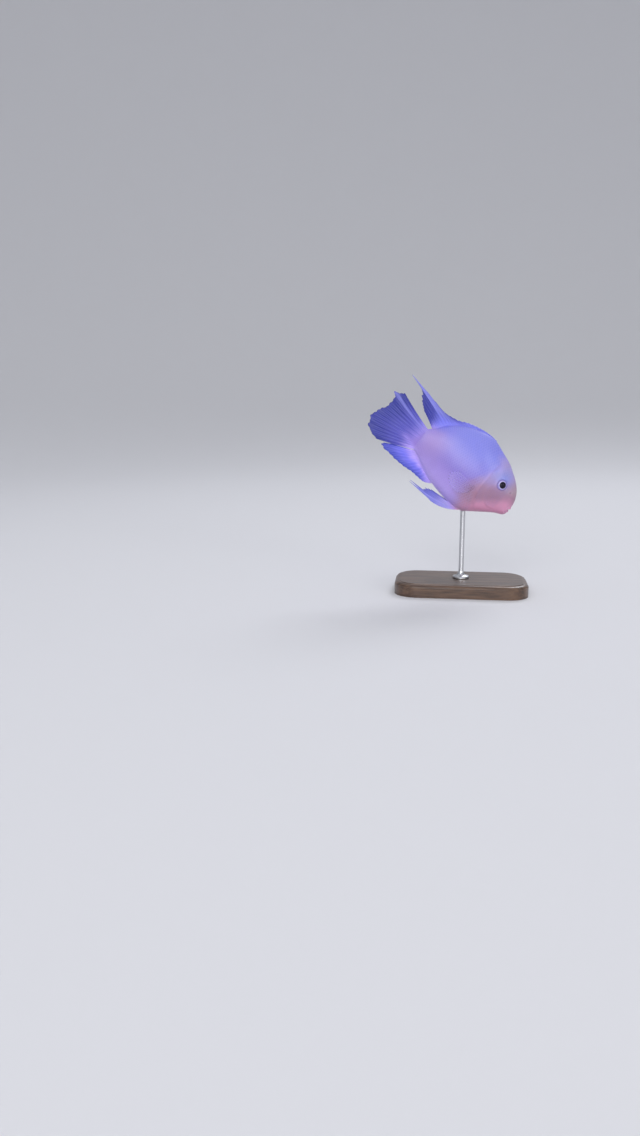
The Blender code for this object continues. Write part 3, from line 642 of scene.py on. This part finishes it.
def skin_colour(place):
    """The markings of the skin, its scales and the fins' roots, with painted light under the belly."""
    along, high = fish_place(place)
    cloud = place.noise(90.0, 2.0) - 0.5
    level = high + cloud * 7.0
    length = along + cloud * 9.0
    colour = level.between(-9.0, 15.0).mix(FLANK_LAVENDER, BACK_BLUE)
    rear = length.bell(60.0, 10.0) * level.bell(2.0, 12.0)
    colour = (rear * 0.85).mix(colour, REAR_MAUVE)
    # The belly's own pale lilac, made paler and carried further up the flank as painted light from below.
    colour = (level.between(-2.0, -14.0) * 0.85).mix(colour, BELLY_LILAC_AND_UNDERLIGHT)
    # Painted light: a paler band along the lower edge over the anal fin's root, against the shade under
    # the belly.
    underside_light = (level - length * 0.5).between(-38.0, -42.0) * length.between(40.0, 50.0)
    colour = (underside_light * 0.6).mix(colour, UNDERSIDE_LIGHT_LILAC)
    colour = ((length + level * 0.25).between(27.0, 19.0) * 0.8).mix(colour, FOREHEAD_LILAC)
    colour = (length.bell(63.0, 9.0) * level.between(8.0, 15.0) * 0.8).mix(colour, CREST_BLUE)
    rosy = (length * 1.2 + level * 1.6).between(36.0, 16.0) * level.between(12.0, 4.0)
    rosy = rosy * (length - level * 0.6).between(46.0, 32.0)
    colour = (rosy * 0.95).mix(colour, CHEEK_MAUVE)
    slope = level + length * 0.46
    throat = slope.between(2.5, -5.5) * (length * 1.2 + level).between(22.0, 9.0)
    throat = throat * (length - level * 0.6).between(46.0, 34.0)
    colour = (throat * 0.95).mix(colour, THROAT_ROSE)
    colour = (slope.between(0.5, 6.0) * length.between(12.0, 3.0) * 0.9).mix(colour, SNOUT_PALE)
    halo = along.bell(EYE[0] + 0.8, 6.0) * high.bell(EYE[1] + 3.4, 5.6)
    return (halo * 0.85).mix(colour, EYE_HALO)


def moist_finish(name, roughness, coat_roughness, bump, glow, glow_depth):
    """A slightly translucent finish with a fine grain under a film of water."""
    made, shader, place = new_finish(name, {
        "Subsurface Weight": glow, "Subsurface Radius": (1.0, 0.5, 0.6), "Subsurface Scale": glow_depth,
        "Specular IOR Level": 0.35, "Coat Weight": 0.12, "Coat Roughness": coat_roughness})
    fine = place.noise(1400.0)
    feed(shader, "Roughness", roughness + fine * 0.16)
    roughen(shader, fine, bump, 0.0002)
    return made, shader, place


skin_finish, skin_shader, skin_place = moist_finish("lavender_skin", 0.34, 0.25, 0.12, 0.18, 0.0015)
# Painted shade in the creases, mixed over the skin's markings.
crease_shade_share = kept(skin_place, "crease") * 0.7
feed(skin_shader, "Base Color", crease_shade_share.mix(skin_colour(skin_place), CREASE_SHADE_MAUVE))
finished(skin, "fish_skin", skin_finish, "skin", "head", "torso", "tail_stem")

# Eyes
# Each eye is a glass-smooth dome in a shallow socket: a black pupil with a bulging lens, a thin
# bright ring round it, then a lavender blue iris with fine spokes and a dark margin.
EYE_HALF_DEPTH = 2.3
EYE_SUNK = 1.3
PUPIL_RADIUS = 2.05
LENS_BULGE = 0.16
IRIS_DISH = 0.1
PUPIL_BLACK = (0.006, 0.004, 0.014, 1)
IRIS_RING = (0.5, 0.46, 0.74, 1)
IRIS_BLUE = (0.32, 0.285, 0.6, 1)
IRIS_MARGIN = (0.28, 0.225, 0.5, 1)


def flank_at(along, high):
    """Station and angle of the left flank where it is seen at a place from the side."""
    sought = np.stack(np.broadcast_arrays(along, high), axis=-1).astype(float)
    station = np.full(sought.shape[:-1], 6.0)
    around = np.full(sought.shape[:-1], 1.5)
    step = 1e-3
    for _ in range(40):
        here = body_points(station, around)[..., [0, 2]]
        by_station = (body_points(station + step, around)[..., [0, 2]] - here) / step
        by_around = (body_points(station, around + step)[..., [0, 2]] - here) / step
        slopes = np.stack((by_station, by_around), axis=-1)
        more = np.linalg.solve(slopes, (sought - here)[..., None])[..., 0]
        station = np.clip(station + np.clip(more[..., 0], -0.5, 0.5), 0.2, LAST_STATION)
        around = np.clip(around + np.clip(more[..., 1], -0.2, 0.2), 0.1, math.pi - 0.1)
    return station, around


eye_finish, eye_shader, eye_place = new_finish(
    "eye_gloss", {"Specular IOR Level": 0.1, "Coat Weight": 0.25, "Coat Roughness": 0.02})
from_axis = kept(eye_place, "from_axis")
spoke_place = eye_place.add(
    "ShaderNodeCombineXYZ", None,
    {"X": kept(eye_place, "turn_x") * 7.0, "Y": kept(eye_place, "turn_y") * 7.0, "Z": from_axis * 0.25})
spokes = spoke_place.noise(1.6, 4.0, 0.6)
iris = (spokes.between(0.35, 0.7) * 0.55).mix(IRIS_BLUE, IRIS_MARGIN)
iris = (from_axis.bell(PUPIL_RADIUS + 0.16, 0.2) * 0.9).mix(iris, IRIS_RING)
iris = from_axis.between(2.72, 3.05).mix(iris, IRIS_MARGIN)
outside_pupil = from_axis.between(PUPIL_RADIUS - 0.06, PUPIL_RADIUS + 0.04)
feed(eye_shader, "Base Color", outside_pupil.mix(PUPIL_BLACK, iris))
feed(eye_shader, "Roughness", 0.1 + spokes * 0.1)

eye_station, eye_around = flank_at(*EYE)
eye_middle = body_points(eye_station, eye_around)
eye_outward = body_normals(eye_station, eye_around)
eye_up = np.cross(eye_outward, (1.0, 0.0, 0.0))
eye_up /= np.linalg.norm(eye_up)
eye_forward = np.cross(eye_up, eye_outward)
for side_name, side in (("left", 1.0), ("right", -1.0)):
    bpy.ops.mesh.primitive_uv_sphere_add(segments=72, ring_count=56, radius=1.0)
    eye = bpy.context.object
    ball = mesh_arrays(eye)
    radius = np.hypot(ball[:, 0], ball[:, 1]) * EYE_RADIUS
    relief = LENS_BULGE * bell(radius, 1.5) - IRIS_DISH * bell(radius - PUPIL_RADIUS - 0.25, 0.35)
    outwards = ball[:, 2] * EYE_HALF_DEPTH - EYE_SUNK + relief * (ball[:, 2] > 0)
    points = eye_middle + eye_outward * outwards[:, None]
    points += (eye_forward * ball[:, :1] + eye_up * ball[:, 1:2]) * EYE_RADIUS
    points[:, 1] *= side
    move_vertices(eye, to_world(points))
    keep_values(eye, "from_axis", radius)
    keep_values(eye, "turn_x", ball[:, 0] * EYE_RADIUS / np.maximum(radius, 0.01))
    keep_values(eye, "turn_y", ball[:, 1] * EYE_RADIUS / np.maximum(radius, 0.01))
    point_outwards()
    bpy.ops.object.shade_smooth()
    finished(eye, "eyeball_" + side_name, eye_finish, "eye", "eye_" + side_name)

# Scales
# Thin horn plates in slanting rows, each set in the skin by its front and lying over the two
# behind it. They run from the gill cover to the tail stem, with smaller ones on the nape, the
# cheek and the gill cover. The snout and the throat are bare.
ROW_PITCH = 1.75  # between two rows that lie side by side, at the shoulder
SCALE_PITCH = 1.6  # between two scales of a row
SCALE_SHRINK = 0.34  # share of size lost by the tail stem
LATERAL_AROUND = 1.3  # where the row of the lateral line runs, from the back
SCALE_LIFT = 0.085  # of the free rear edge over the skin
SCALE_THICKNESS = 0.05
HEAD_SCALE_SIZE = 0.66  # of a shoulder scale
HEAD_SCALE_LIFT = 0.95
NAPE_AROUND = 0.95  # angle from the back where the nape goes over into the cheek
CHEEK_AROUND = 2.1  # and where the scales of the cheek end below
PLATE_ACROSS = 6
PLATE_ALONG = 2
PLATE_FRONT = 0.75  # reach of a plate before its root, and behind it, in scale pitches
PLATE_REAR = 0.9
PLATE_SUNK = 0.07
PATCH = 0.003  # size of a plate's patch in the unwrap
SCALE_RIM = (0.52, 0.47, 0.9, 1)
SCALE_SHADE = (0.2, 0.16, 0.5, 1)

chance = np.random.default_rng(7)


def scale_size(station):
    return 1.0 - SCALE_SHRINK * ease((station - 8.5) / 5.0) - 0.22 * ease((8.0 - station) / 2.0)


def on_body_or_nape(station, around):
    beside_eye = off(EYE, body_points(station, around)) <= 5.2
    on_nape = around < NAPE_AROUND and station > 5.2 + 1.2 * around and not beside_eye
    return station > gill_edge(around) + 0.17 or on_nape


def on_cheek(station, around):
    place = body_points(station, around)
    bare = off(EYE, place) < 5.0 or abs(off(CHEEK_MIDDLE, place) - CHEEK_GROOVE) < 0.7
    between = NAPE_AROUND <= around <= CHEEK_AROUND and 5.0 < station < gill_edge(around) - 0.13
    return between and not bare


def run_along(points):
    """Length of a line from its start to each of its points."""
    return np.concatenate(([0.0], np.cumsum(np.linalg.norm(np.diff(points, axis=0), axis=1))))


def lay_scales(first, last, size_at, wanted):
    """Station, angle, size and row of each scale, in slanting rows between two stations."""
    stations = np.linspace(first, last, 1200)
    lengths = run_along(body_points(stations, LATERAL_AROUND))
    angles = np.linspace(0.03, math.pi - 0.03, 500)
    roots = []
    travelled = 0.2
    column = 0
    while travelled < lengths[-1]:
        station = float(np.interp(travelled, lengths, stations))
        size = float(size_at(station))
        arcs = run_along(body_points(station, angles))
        arcs -= np.interp(LATERAL_AROUND, angles, arcs)
        pitch = 2 * ROW_PITCH * size
        for row in range(math.ceil(arcs[0] / pitch), int(arcs[-1] / pitch) + 1):
            arc = (row + 0.5 * (column % 2)) * pitch
            if arcs[0] < arc < arcs[-1]:
                around = float(np.interp(arc, arcs, angles))
                if wanted(station, around):
                    roots.append((station, around, size, 2 * row + column % 2))
        travelled += 0.5 * SCALE_PITCH * size
        column += 1
    return roots


body_roots = lay_scales(3.0, LAST_STATION - 0.05, scale_size, on_body_or_nape)
head_roots = lay_scales(4.5, GILL_EDGE_STATION, lambda station: HEAD_SCALE_SIZE, on_cheek)
scale_roots = np.array(body_roots + head_roots)
on_head = (np.arange(len(scale_roots)) >= len(body_roots))[:, None]

bpy.ops.mesh.primitive_grid_add(x_subdivisions=PLATE_ALONG, y_subdivisions=PLATE_ACROSS, size=2.0)
plate = bpy.context.object
keep_in_place(plate)
thicken = plate.modifiers.new("thicken", "SOLIDIFY")
thicken.thickness = 1.0
thicken.offset = 0.0
bpy.ops.object.modifier_apply(modifier=thicken.name)
plate_shape = mesh_arrays(plate)
plate_faces = np.array([face.vertices for face in plate.data.polygons])
bpy.data.objects.remove(plate)

# From the buried front to the round free edge, in shares of the pitch along and across.
rearward = (plate_shape[:, 0] + 1) / 2
sideward = plate_shape[:, 1]
upper = plate_shape[:, 2] > 0
outline = np.sqrt(1.0 - 0.92 * sideward ** 2)
plate_along = -PLATE_FRONT + rearward * (PLATE_FRONT + PLATE_REAR * outline)
plate_across = sideward * (0.8 + 0.2 * rearward)
plate_height = -PLATE_SUNK + (SCALE_LIFT + PLATE_SUNK) * rearward - 0.03 * np.abs(sideward) ** 3
plate_height = plate_height - np.where(upper, 0.0, SCALE_THICKNESS + 0.04)

count = len(scale_roots)
root_station, root_around, root_size, root_row = (scale_roots[:, index, None] for index in range(4))
wobble = chance.normal(0.0, 1.0, (2, count, 3))
here = body_points(root_station, root_around)
per_station = np.linalg.norm(body_points(root_station + 0.01, root_around) - here, axis=-1) / 0.01
per_around = np.linalg.norm(body_points(root_station, root_around + 0.01) - here, axis=-1) / 0.01
scale_parts = []
patches = []
for side, loose in zip((1.0, -1.0), wobble):
    tilt = 0.05 * loose[:, :1]
    along = (plate_along - tilt * plate_across) * root_size * SCALE_PITCH * (1 + 0.03 * loose[:, 1:2])
    across = (plate_across + tilt * plate_along) * root_size * ROW_PITCH
    plate_stations = root_station + along / per_station
    plate_arounds = root_around + across / per_around
    lifted = plate_height * (1 + 0.12 * loose[:, 2:3]) * np.where(on_head, HEAD_SCALE_LIFT, 1.0)
    on_lateral_line = (root_row == 0) & (root_station > 8.0)
    tube = np.where(on_lateral_line, 0.07 * bell(plate_across, 0.22), 0.0)
    points = body_points(plate_stations, plate_arounds)
    relief = np.where(on_head, head_relief(plate_stations, plate_arounds, points), 0.0)
    points += body_normals(plate_stations, plate_arounds) * (lifted + tube + relief)[..., None]
    points[..., 1] *= side
    scale_parts.append(to_world(points))
    patches.append(np.stack(np.broadcast_arrays(
        root_station / LAST_STATION + (rearward - 0.5) * PATCH,
        0.5 + side * root_around / math.pi * 0.49 + sideward * 0.5 * PATCH), axis=-1))
scale_points = np.concatenate(scale_parts).reshape(-1, 3)
per_plate = len(plate_shape)
scale_faces = np.arange(2 * count)[:, None, None] * per_plate + plate_faces
scale_faces[count:] = scale_faces[count:, :, ::-1]
bpy.ops.mesh.primitive_plane_add(size=1)
scales = bpy.context.object
scale_mesh = bpy.data.meshes.new("body_scales")
scale_mesh.from_pydata(scale_points.tolist(), [], scale_faces.reshape(-1, 4).tolist())
scales.data = scale_mesh
keep_values(scales, "shade", np.repeat(np.concatenate(wobble)[:, 1], per_plate))
keep_values(scales, "free_edge", np.tile(rearward * np.where(on_head, 0.8, 1.0), (2, 1)))

unwrap = scale_mesh.uv_layers.new(name="OFBake")
corner_vertices = np.empty(len(scale_mesh.loops), dtype=np.int32)
scale_mesh.loops.foreach_get("vertex_index", corner_vertices)
unwrapped = np.concatenate(patches).reshape(-1, 2)[corner_vertices]
unwrap.data.foreach_set("uv", unwrapped.astype(np.float32).ravel())
point_outwards()
bpy.ops.object.shade_smooth_by_angle(angle=math.radians(40))

scale_finish, scale_shader, scale_place = moist_finish("horn_scales", 0.3, 0.22, 0.1, 0.15, 0.001)
scale_tint = skin_colour(scale_place)
free_edge = kept(scale_place, "free_edge")
shade = kept(scale_place, "shade")
scale_tint = (free_edge.between(0.72, 1.0) * 0.16).mix(scale_tint, SCALE_RIM)
scale_tint = ((0.5 + shade * 0.25).clamped() * 0.1).mix(scale_tint, SCALE_SHADE)
feed(scale_shader, "Base Color", scale_tint)
finished(scales, "body_scales", scale_finish, "skin")

# Dorsal fin
# Every fin is a thin clear web over rays that grow from the skin: stiff single spines or soft
# jointed rays that fork twice on their way out. Here low folded spines run along the back, and the
# soft rays behind them stand up and trail out to a fine point.
RAY_COLUMNS = 12  # mesh columns from one ray to the next
WEB_HALF = 0.1  # half the thickness of the web, and the rise of a ray on each face
RAY_RISE = 0.17
ROOT_FLARE = 0.75
ROOT_SUNK = 0.55
BRANCH_SPREAD = 0.25  # how far a soft ray's first branches part, of the ray spacing
BRANCH_START = 0.34  # share of the way out where they part, and where each parts again
TWIG_START = 0.66
FRINGE_DEPTH = 0.014  # share of the length by which the web ends short between branches
RAY_JOINT_LENGTH = 0.551
RAY_PALE = (0.29, 0.3, 0.8, 1)
DORSAL_BLUE = (0.03, 0.036, 0.32, 1)
DEEP_VIOLET = (0.018, 0.026, 0.24, 1)
DORSAL_EDGE = (  # tips of the rays, from the first to the last
    (28.8, 0.0, 23.9), (34.5, 0.0, 24.7), (41.0, 0.0, 24.6), (48.5, 0.0, 23.4), (56.8, 0.0, 21.0),
    (66.9, 0.3, 21.5), (82.3, 0.8, 25.8), (79.4, 0.5, 19.4), (75.0, 0.2, 15.2),
)


def fin_finish(name, middle, edge, clearness, ray_cover=0.85, starts=(0.0, 1.0), pale_rays=0.42,
               pale_front=None, clear_from=(0.06, 0.55)):
    """Skin colour at the root and before starts, then two tones outwards, and pale rays.

    pale_front is a pale band up to one ray: where it begins, that ray, and its strength.
    """
    made, shader, place = new_finish(name, {
        "Roughness": 0.32, "Subsurface Weight": 0.1, "Subsurface Radius": (0.8, 0.6, 1.0),
        "Subsurface Scale": 0.0008, "Specular IOR Level": 0.25})
    ray = kept(place, "ray")
    out = kept(place, "reach")
    across = kept(place, "across")
    streak_place = place.add("ShaderNodeCombineXYZ", None, {"X": across * 0.9, "Y": out * 0.7})
    streaks = streak_place.noise(1.7, 4.0, 0.6) - 0.5
    far = out + streaks * 0.45
    own = fish_place(place)[0].between(*starts)
    colour = (far.between(0.06, 0.46) * own).mix(skin_colour(place), middle)
    colour = (far.between(0.4, 0.95) * own).mix(colour, edge)
    colour = (ray * (0.5 + streaks) * pale_rays).clamped().mix(colour, RAY_PALE)
    if pale_front is not None:
        fading, line, strength = pale_front
        front = across.between(fading, line) * across.between(line + 0.8, line + 0.1)
        colour = (front * out.between(0.1, 0.45) * strength).mix(colour, RAY_PALE)
    feed(shader, "Base Color", colour)
    joint_turn = kept(place, "length") * (2 * math.pi / RAY_JOINT_LENGTH)
    joints = joint_turn.maths("SINE") * 0.5 + 0.5
    see_through = clearness * (1.0 - ray * ray_cover) * far.between(*clear_from)
    feed(shader, "Alpha", (1.0 - see_through).clamped())
    roughen(shader, joints * ray * far.between(0.15, 0.5) + streaks, 0.25, 0.00012)
    return made


def blend(first, second, share):
    return first + (second - first) * share


def ray_lines(place, out, soft):
    """How near a place is to a ray or one of its branches, from 0 to 1."""
    fork = soft * BRANCH_SPREAD * ease((out - BRANCH_START) / 0.6)
    second_fork = soft * 0.5 * BRANCH_SPREAD * ease((out - TWIG_START) / (1.0 - TWIG_START))
    nearness = np.zeros(np.broadcast(place, out).shape)
    width = blend(0.17, 0.075, ease(out / 0.8))
    for toward in (-1.0, 1.0):
        for again in (-1.0, 1.0):
            line = place - toward * fork - again * second_fork
            nearness = np.maximum(nearness, bell(line - np.round(line), width))
    return nearness


def evenly(value):
    """The same value for every ray."""
    return lambda across: np.full_like(across, value)


def soft_from(share, run):
    """Stiff spines up to a share of the way from the first ray to the last, soft rays after it."""
    return lambda across: ease((across - share) / run)


def build_fin(kind, finish, rays, rows, edge, root, control, soft, notch, ripple,
              filament=None, side_name="", side=1.0, flesh=evenly(ROOT_FLARE)):
    """A closed thin sheet over rays from root to edge, bent through control, in millimetres.

    For each ray, soft, notch and flesh give how soft it is, how far the web beside it falls short,
    and how thick its root is. filament is the ray that trails out, its spread and its reach.
    """
    columns = (rays - 1) * RAY_COLUMNS
    bpy.ops.mesh.primitive_grid_add(x_subdivisions=2 * columns, y_subdivisions=rows, size=2.0)
    fin = bpy.context.object
    flat = mesh_arrays(fin)
    wrapped = np.round((flat[:, 0] + 1) * columns)
    near = wrapped <= columns
    across = np.where(near, wrapped, 2 * columns - wrapped) / columns
    out = (np.round((flat[:, 1] + 1) / 2 * rows) / rows) ** 0.9
    edge_knots = with_end_knots(edge)
    ray_place = across * (rays - 1)
    softness = soft(across)
    lengths = np.random.default_rng(len(edge) * 10 + rays).normal(0.0, 1.0, rays + 1)
    whole = np.minimum(ray_place.astype(int), rays - 1)
    uneven = blend(lengths[whole], lengths[whole + 1], ease(ray_place - whole))
    between = np.sin(math.pi * (ray_place - whole)) ** 2
    fringe = 1.0 - ray_lines(ray_place, np.ones_like(out), softness)
    short = notch(across) * between + FRINGE_DEPTH * softness * fringe + 0.012 * (uneven + 1.2)
    short = np.clip(short, 0.003, 0.4) * ease((out - 0.35) / 0.65)

    def sheet(across, out, trailing=1.0):
        start = root(across)
        tip = smooth_through(edge_knots, across * (len(edge) - 1))
        if filament:
            tip = tip + trailing * np.outer(bell(across - filament[0], filament[1]), filament[2])
        bend = control(across[:, None], start, tip)
        out = out[:, None]
        return start * (1 - out) ** 2 + bend * 2 * out * (1 - out) + tip * out ** 2

    step = 0.004
    reached = out * (1.0 - short)
    middle = sheet(across, reached)
    next_ray, last_ray = np.clip(across + step, 0, 1), np.clip(across - step, 0, 1)
    sideways = sheet(next_ray, out, 0.0) - sheet(last_ray, out, 0.0)
    further, nearer = np.clip(out + step, 0, 1), np.clip(out - step, 0, 1)
    outwards = sheet(across, further, 0.0) - sheet(across, nearer, 0.0)
    normals = np.cross(sideways, outwards)
    normals /= np.linalg.norm(normals, axis=1, keepdims=True)
    ray = ray_lines(ray_place, reached, softness)
    waves = ripple * np.sin(ray_place * 1.9 + 3.0 * reached) * reached ** 2
    waves = waves + 0.12 * np.cos(2 * math.pi * ray_place) * reached * (1 - 0.5 * softness)
    spine = 1.0 + 0.5 * (1.0 - softness)
    rim = 1.0 - ease((out - 0.9) / 0.1)
    half = WEB_HALF + ray * RAY_RISE * spine * (1.0 - 0.55 * reached) * ease(out / 0.22)
    half = half + flesh(across) * (1.0 - ease(out / 0.16))
    half = half * (0.28 + 0.72 * rim)
    closed = (out > 0.999) | (out < 1e-6) | (wrapped % columns == 0)
    half = np.where(closed, 0.0, half)
    points = middle + normals * (waves + np.where(near, half, -half))[:, None]
    points[:, 1] *= side
    move_vertices(fin, to_world(points))
    keep_values(fin, "ray", ray)
    keep_values(fin, "reach", reached)
    keep_values(fin, "across", ray_place)
    ray_length = np.linalg.norm(sheet(across, np.ones_like(out)) - root(across), axis=1)
    keep_values(fin, "length", reached * ray_length)
    point_outwards(merge_within=1e-6)
    bpy.ops.object.shade_smooth()
    finished(fin, "fin_" + kind + side_name, finish, "fin_membrane", kind + "_fin" + side_name)


def ridge_root(first, last, around):
    """Roots sunk into the skin along the back or the belly."""
    def root(across):
        station = first + (last - first) * across
        return body_points(station, around) - body_normals(station, around) * ROOT_SUNK
    return root


def swept(along, high, wave, pace):
    """Control points half way out, pushed along, high and to and fro in a wave."""
    def control(across, start, tip):
        bend = np.full((len(across), 3), (along, 0.0, high))
        bend[:, 1] = wave * np.sin(pace * across[:, 0])
        return blend(start, tip, 0.5) + bend * ease(across * 2.0)
    return control


def dorsal_notch(across):
    return 0.1 - 0.05 * ease((across - 0.45) / 0.1)


dorsal_finish = fin_finish(
    "dorsal_web", DORSAL_BLUE, DEEP_VIOLET, clearness=0.09, starts=(46.0, 66.0), pale_rays=0.34,
    pale_front=(11.0, 17.9, 0.65))
build_fin(
    "dorsal", dorsal_finish, rays=25, rows=56, edge=DORSAL_EDGE,
    root=ridge_root(8.75, 13.55, 0.0), control=swept(-0.6, 0.2, 0.35, 9.0),
    soft=soft_from(0.52, 0.08), notch=dorsal_notch, ripple=0.25,
    filament=(18 / 24, 0.022, (11.3, 0.5, 3.3)))

# Anal fin
# Folded spines under the rear belly, then soft rays swept back beside the tail fin. It is the
# brightest blue of the fins, and lilac where it leaves the body.
ANAL_BLUE = (0.155, 0.155, 0.77, 1)
ANAL_EDGE_BLUE = (0.036, 0.056, 0.45, 1)
ANAL_EDGE = (
    (47.4, 0.0, -18.9), (51.4, 0.0, -20.4), (55.8, 0.0, -19.9), (60.8, 0.1, -19.3), (66.8, 0.3, -19.4),
    (73.5, 0.6, -18.8), (80.0, 0.9, -17.4), (86.2, 1.2, -15.4), (79.8, 1.4, -11.6),
)
anal_finish = fin_finish("anal_web", ANAL_BLUE, ANAL_EDGE_BLUE, clearness=0.12, starts=(46.0, 58.0))
build_fin(
    "anal", anal_finish, rays=15, rows=52, edge=ANAL_EDGE,
    root=ridge_root(10.55, 13.8, math.pi), control=swept(-0.4, -0.5, 0.3, 8.0),
    soft=soft_from(0.34, 0.1), notch=evenly(0.04), ripple=0.22)

# Tail fin
# A fan of soft rays with a ragged rear edge. Its thick fleshy root runs on from the tail stem, and
# one ray near its upper edge is paler and longer than the rest.
CAUDAL_VIOLET = (0.08, 0.078, 0.44, 1)
CAUDAL_EDGE = (
    (90.6, 0.2, 17.7), (94.0, 0.8, 15.6), (94.7, 1.4, 9.3), (96.4, 1.1, 4.5), (99.4, 0.3, 0.4),
    (101.4, -0.6, -4.2), (99.2, -1.3, -8.8), (96.0, -1.2, -12.6), (89.5, -0.5, -14.6),
)


def caudal_root(across):
    top = body_points(float(LAST_STATION), 0.0)
    bottom = body_points(float(LAST_STATION), math.pi)
    return blend(top, bottom, 0.035 + 0.93 * across[:, None]) - (1.2, 0.0, 0.0)


def caudal_control(across, start, tip):
    span = np.linalg.norm(tip - start, axis=1, keepdims=True)
    return start + np.concatenate((0.42 * span, np.zeros_like(across), (0.5 - across) * 8.0), axis=1)


def caudal_flesh(across):
    return 0.35 + 1.15 * np.maximum(np.sin(math.pi * across), 0.0) ** 0.6


caudal_finish = fin_finish(
    "caudal_web", CAUDAL_VIOLET, DEEP_VIOLET, clearness=0.12, pale_rays=0.36, pale_front=(1.3, 1.9, 0.4))
build_fin(
    "caudal", caudal_finish, rays=15, rows=72, edge=CAUDAL_EDGE,
    root=caudal_root, control=caudal_control, soft=evenly(1.0), notch=evenly(0.012), ripple=0.3,
    filament=(2 / 14, 0.03, (3.4, 0.3, 0.6)), flesh=caudal_flesh)

# Paired fins
# The pelvic fins lie back under the belly, the second ray of each drawn out to a fine point. The
# pectoral fins are clear paddles behind the gill covers, of which little but the rays shows.
PELVIC_BLUE = (0.39, 0.345, 0.76, 1)
PELVIC_EDGE_BLUE = (0.13, 0.14, 0.56, 1)
PELVIC_EDGE = (
    (41.8, 4.3, -27.0), (47.3, 4.7, -26.3), (49.1, 4.3, -24.3), (48.5, 3.9, -23.0), (46.8, 3.5, -22.2),
    (44.6, 3.2, -21.7),
)
PECTORAL_LIGHTENED_LILAC = (0.43, 0.36, 0.8, 1)
PECTORAL_EDGE = (
    (38.2, 14.2, -2.2), (41.6, 15.0, -4.4), (42.6, 15.4, -7.6), (40.0, 15.2, -11.0), (35.4, 14.4, -13.2),
    (31.2, 13.6, -13.4),
)
PECTORAL_ROOT_TOP = (25.0, -4.6)
PECTORAL_ROOT_FOOT = (25.8, -9.4)


def pectoral_place(across):
    """Station and angle on the flank where a pectoral ray leaves the body."""
    along, high = (blend(*ends, across) for ends in zip(PECTORAL_ROOT_TOP, PECTORAL_ROOT_FOOT))
    return flank_at(along, high)


def pectoral_root(across):
    station, around = pectoral_place(across)
    return body_points(station, around) - body_normals(station, around) * ROOT_SUNK


def pectoral_control(across, start, tip):
    station, around = pectoral_place(across[:, 0])
    return start + body_normals(station, around) * (3.0 + ROOT_SUNK)


def pelvic_control(across, start, tip):
    return start + blend(np.array((9.2, 0.9, -7.2)), np.array((3.0, 0.5, -0.9)), across ** 0.7)


pelvic_finish = fin_finish(
    "pelvic_web", PELVIC_BLUE, PELVIC_EDGE_BLUE, clearness=0.16, pale_front=(-0.5, 0.9, 0.5))
# Painted light: the clear pectoral web is coloured paler than the flank behind it, to offset the shade it
# takes and throws on the body.
pectoral_finish = fin_finish(
    "pectoral_web", PECTORAL_LIGHTENED_LILAC, PECTORAL_LIGHTENED_LILAC, clearness=0.95, ray_cover=0.26, pale_rays=0.0,
    clear_from=(-0.12, 0.14))
for side_name, side in (("_left", 1.0), ("_right", -1.0)):
    build_fin(
        "pelvic", pelvic_finish, rays=6, rows=60, edge=PELVIC_EDGE,
        root=ridge_root(7.7, 8.8, math.radians(167.0)), control=pelvic_control,
        soft=soft_from(0.1, 0.1), notch=evenly(0.06), ripple=0.15,
        filament=(1 / 5, 0.07, (12.6, 0.8, 2.3)), side_name=side_name, side=side)
    build_fin(
        "pectoral", pectoral_finish, rays=11, rows=48, edge=PECTORAL_EDGE,
        root=pectoral_root, control=pectoral_control,
        soft=evenly(1.0), notch=evenly(0.03), ripple=0.15, side_name=side_name, side=side)
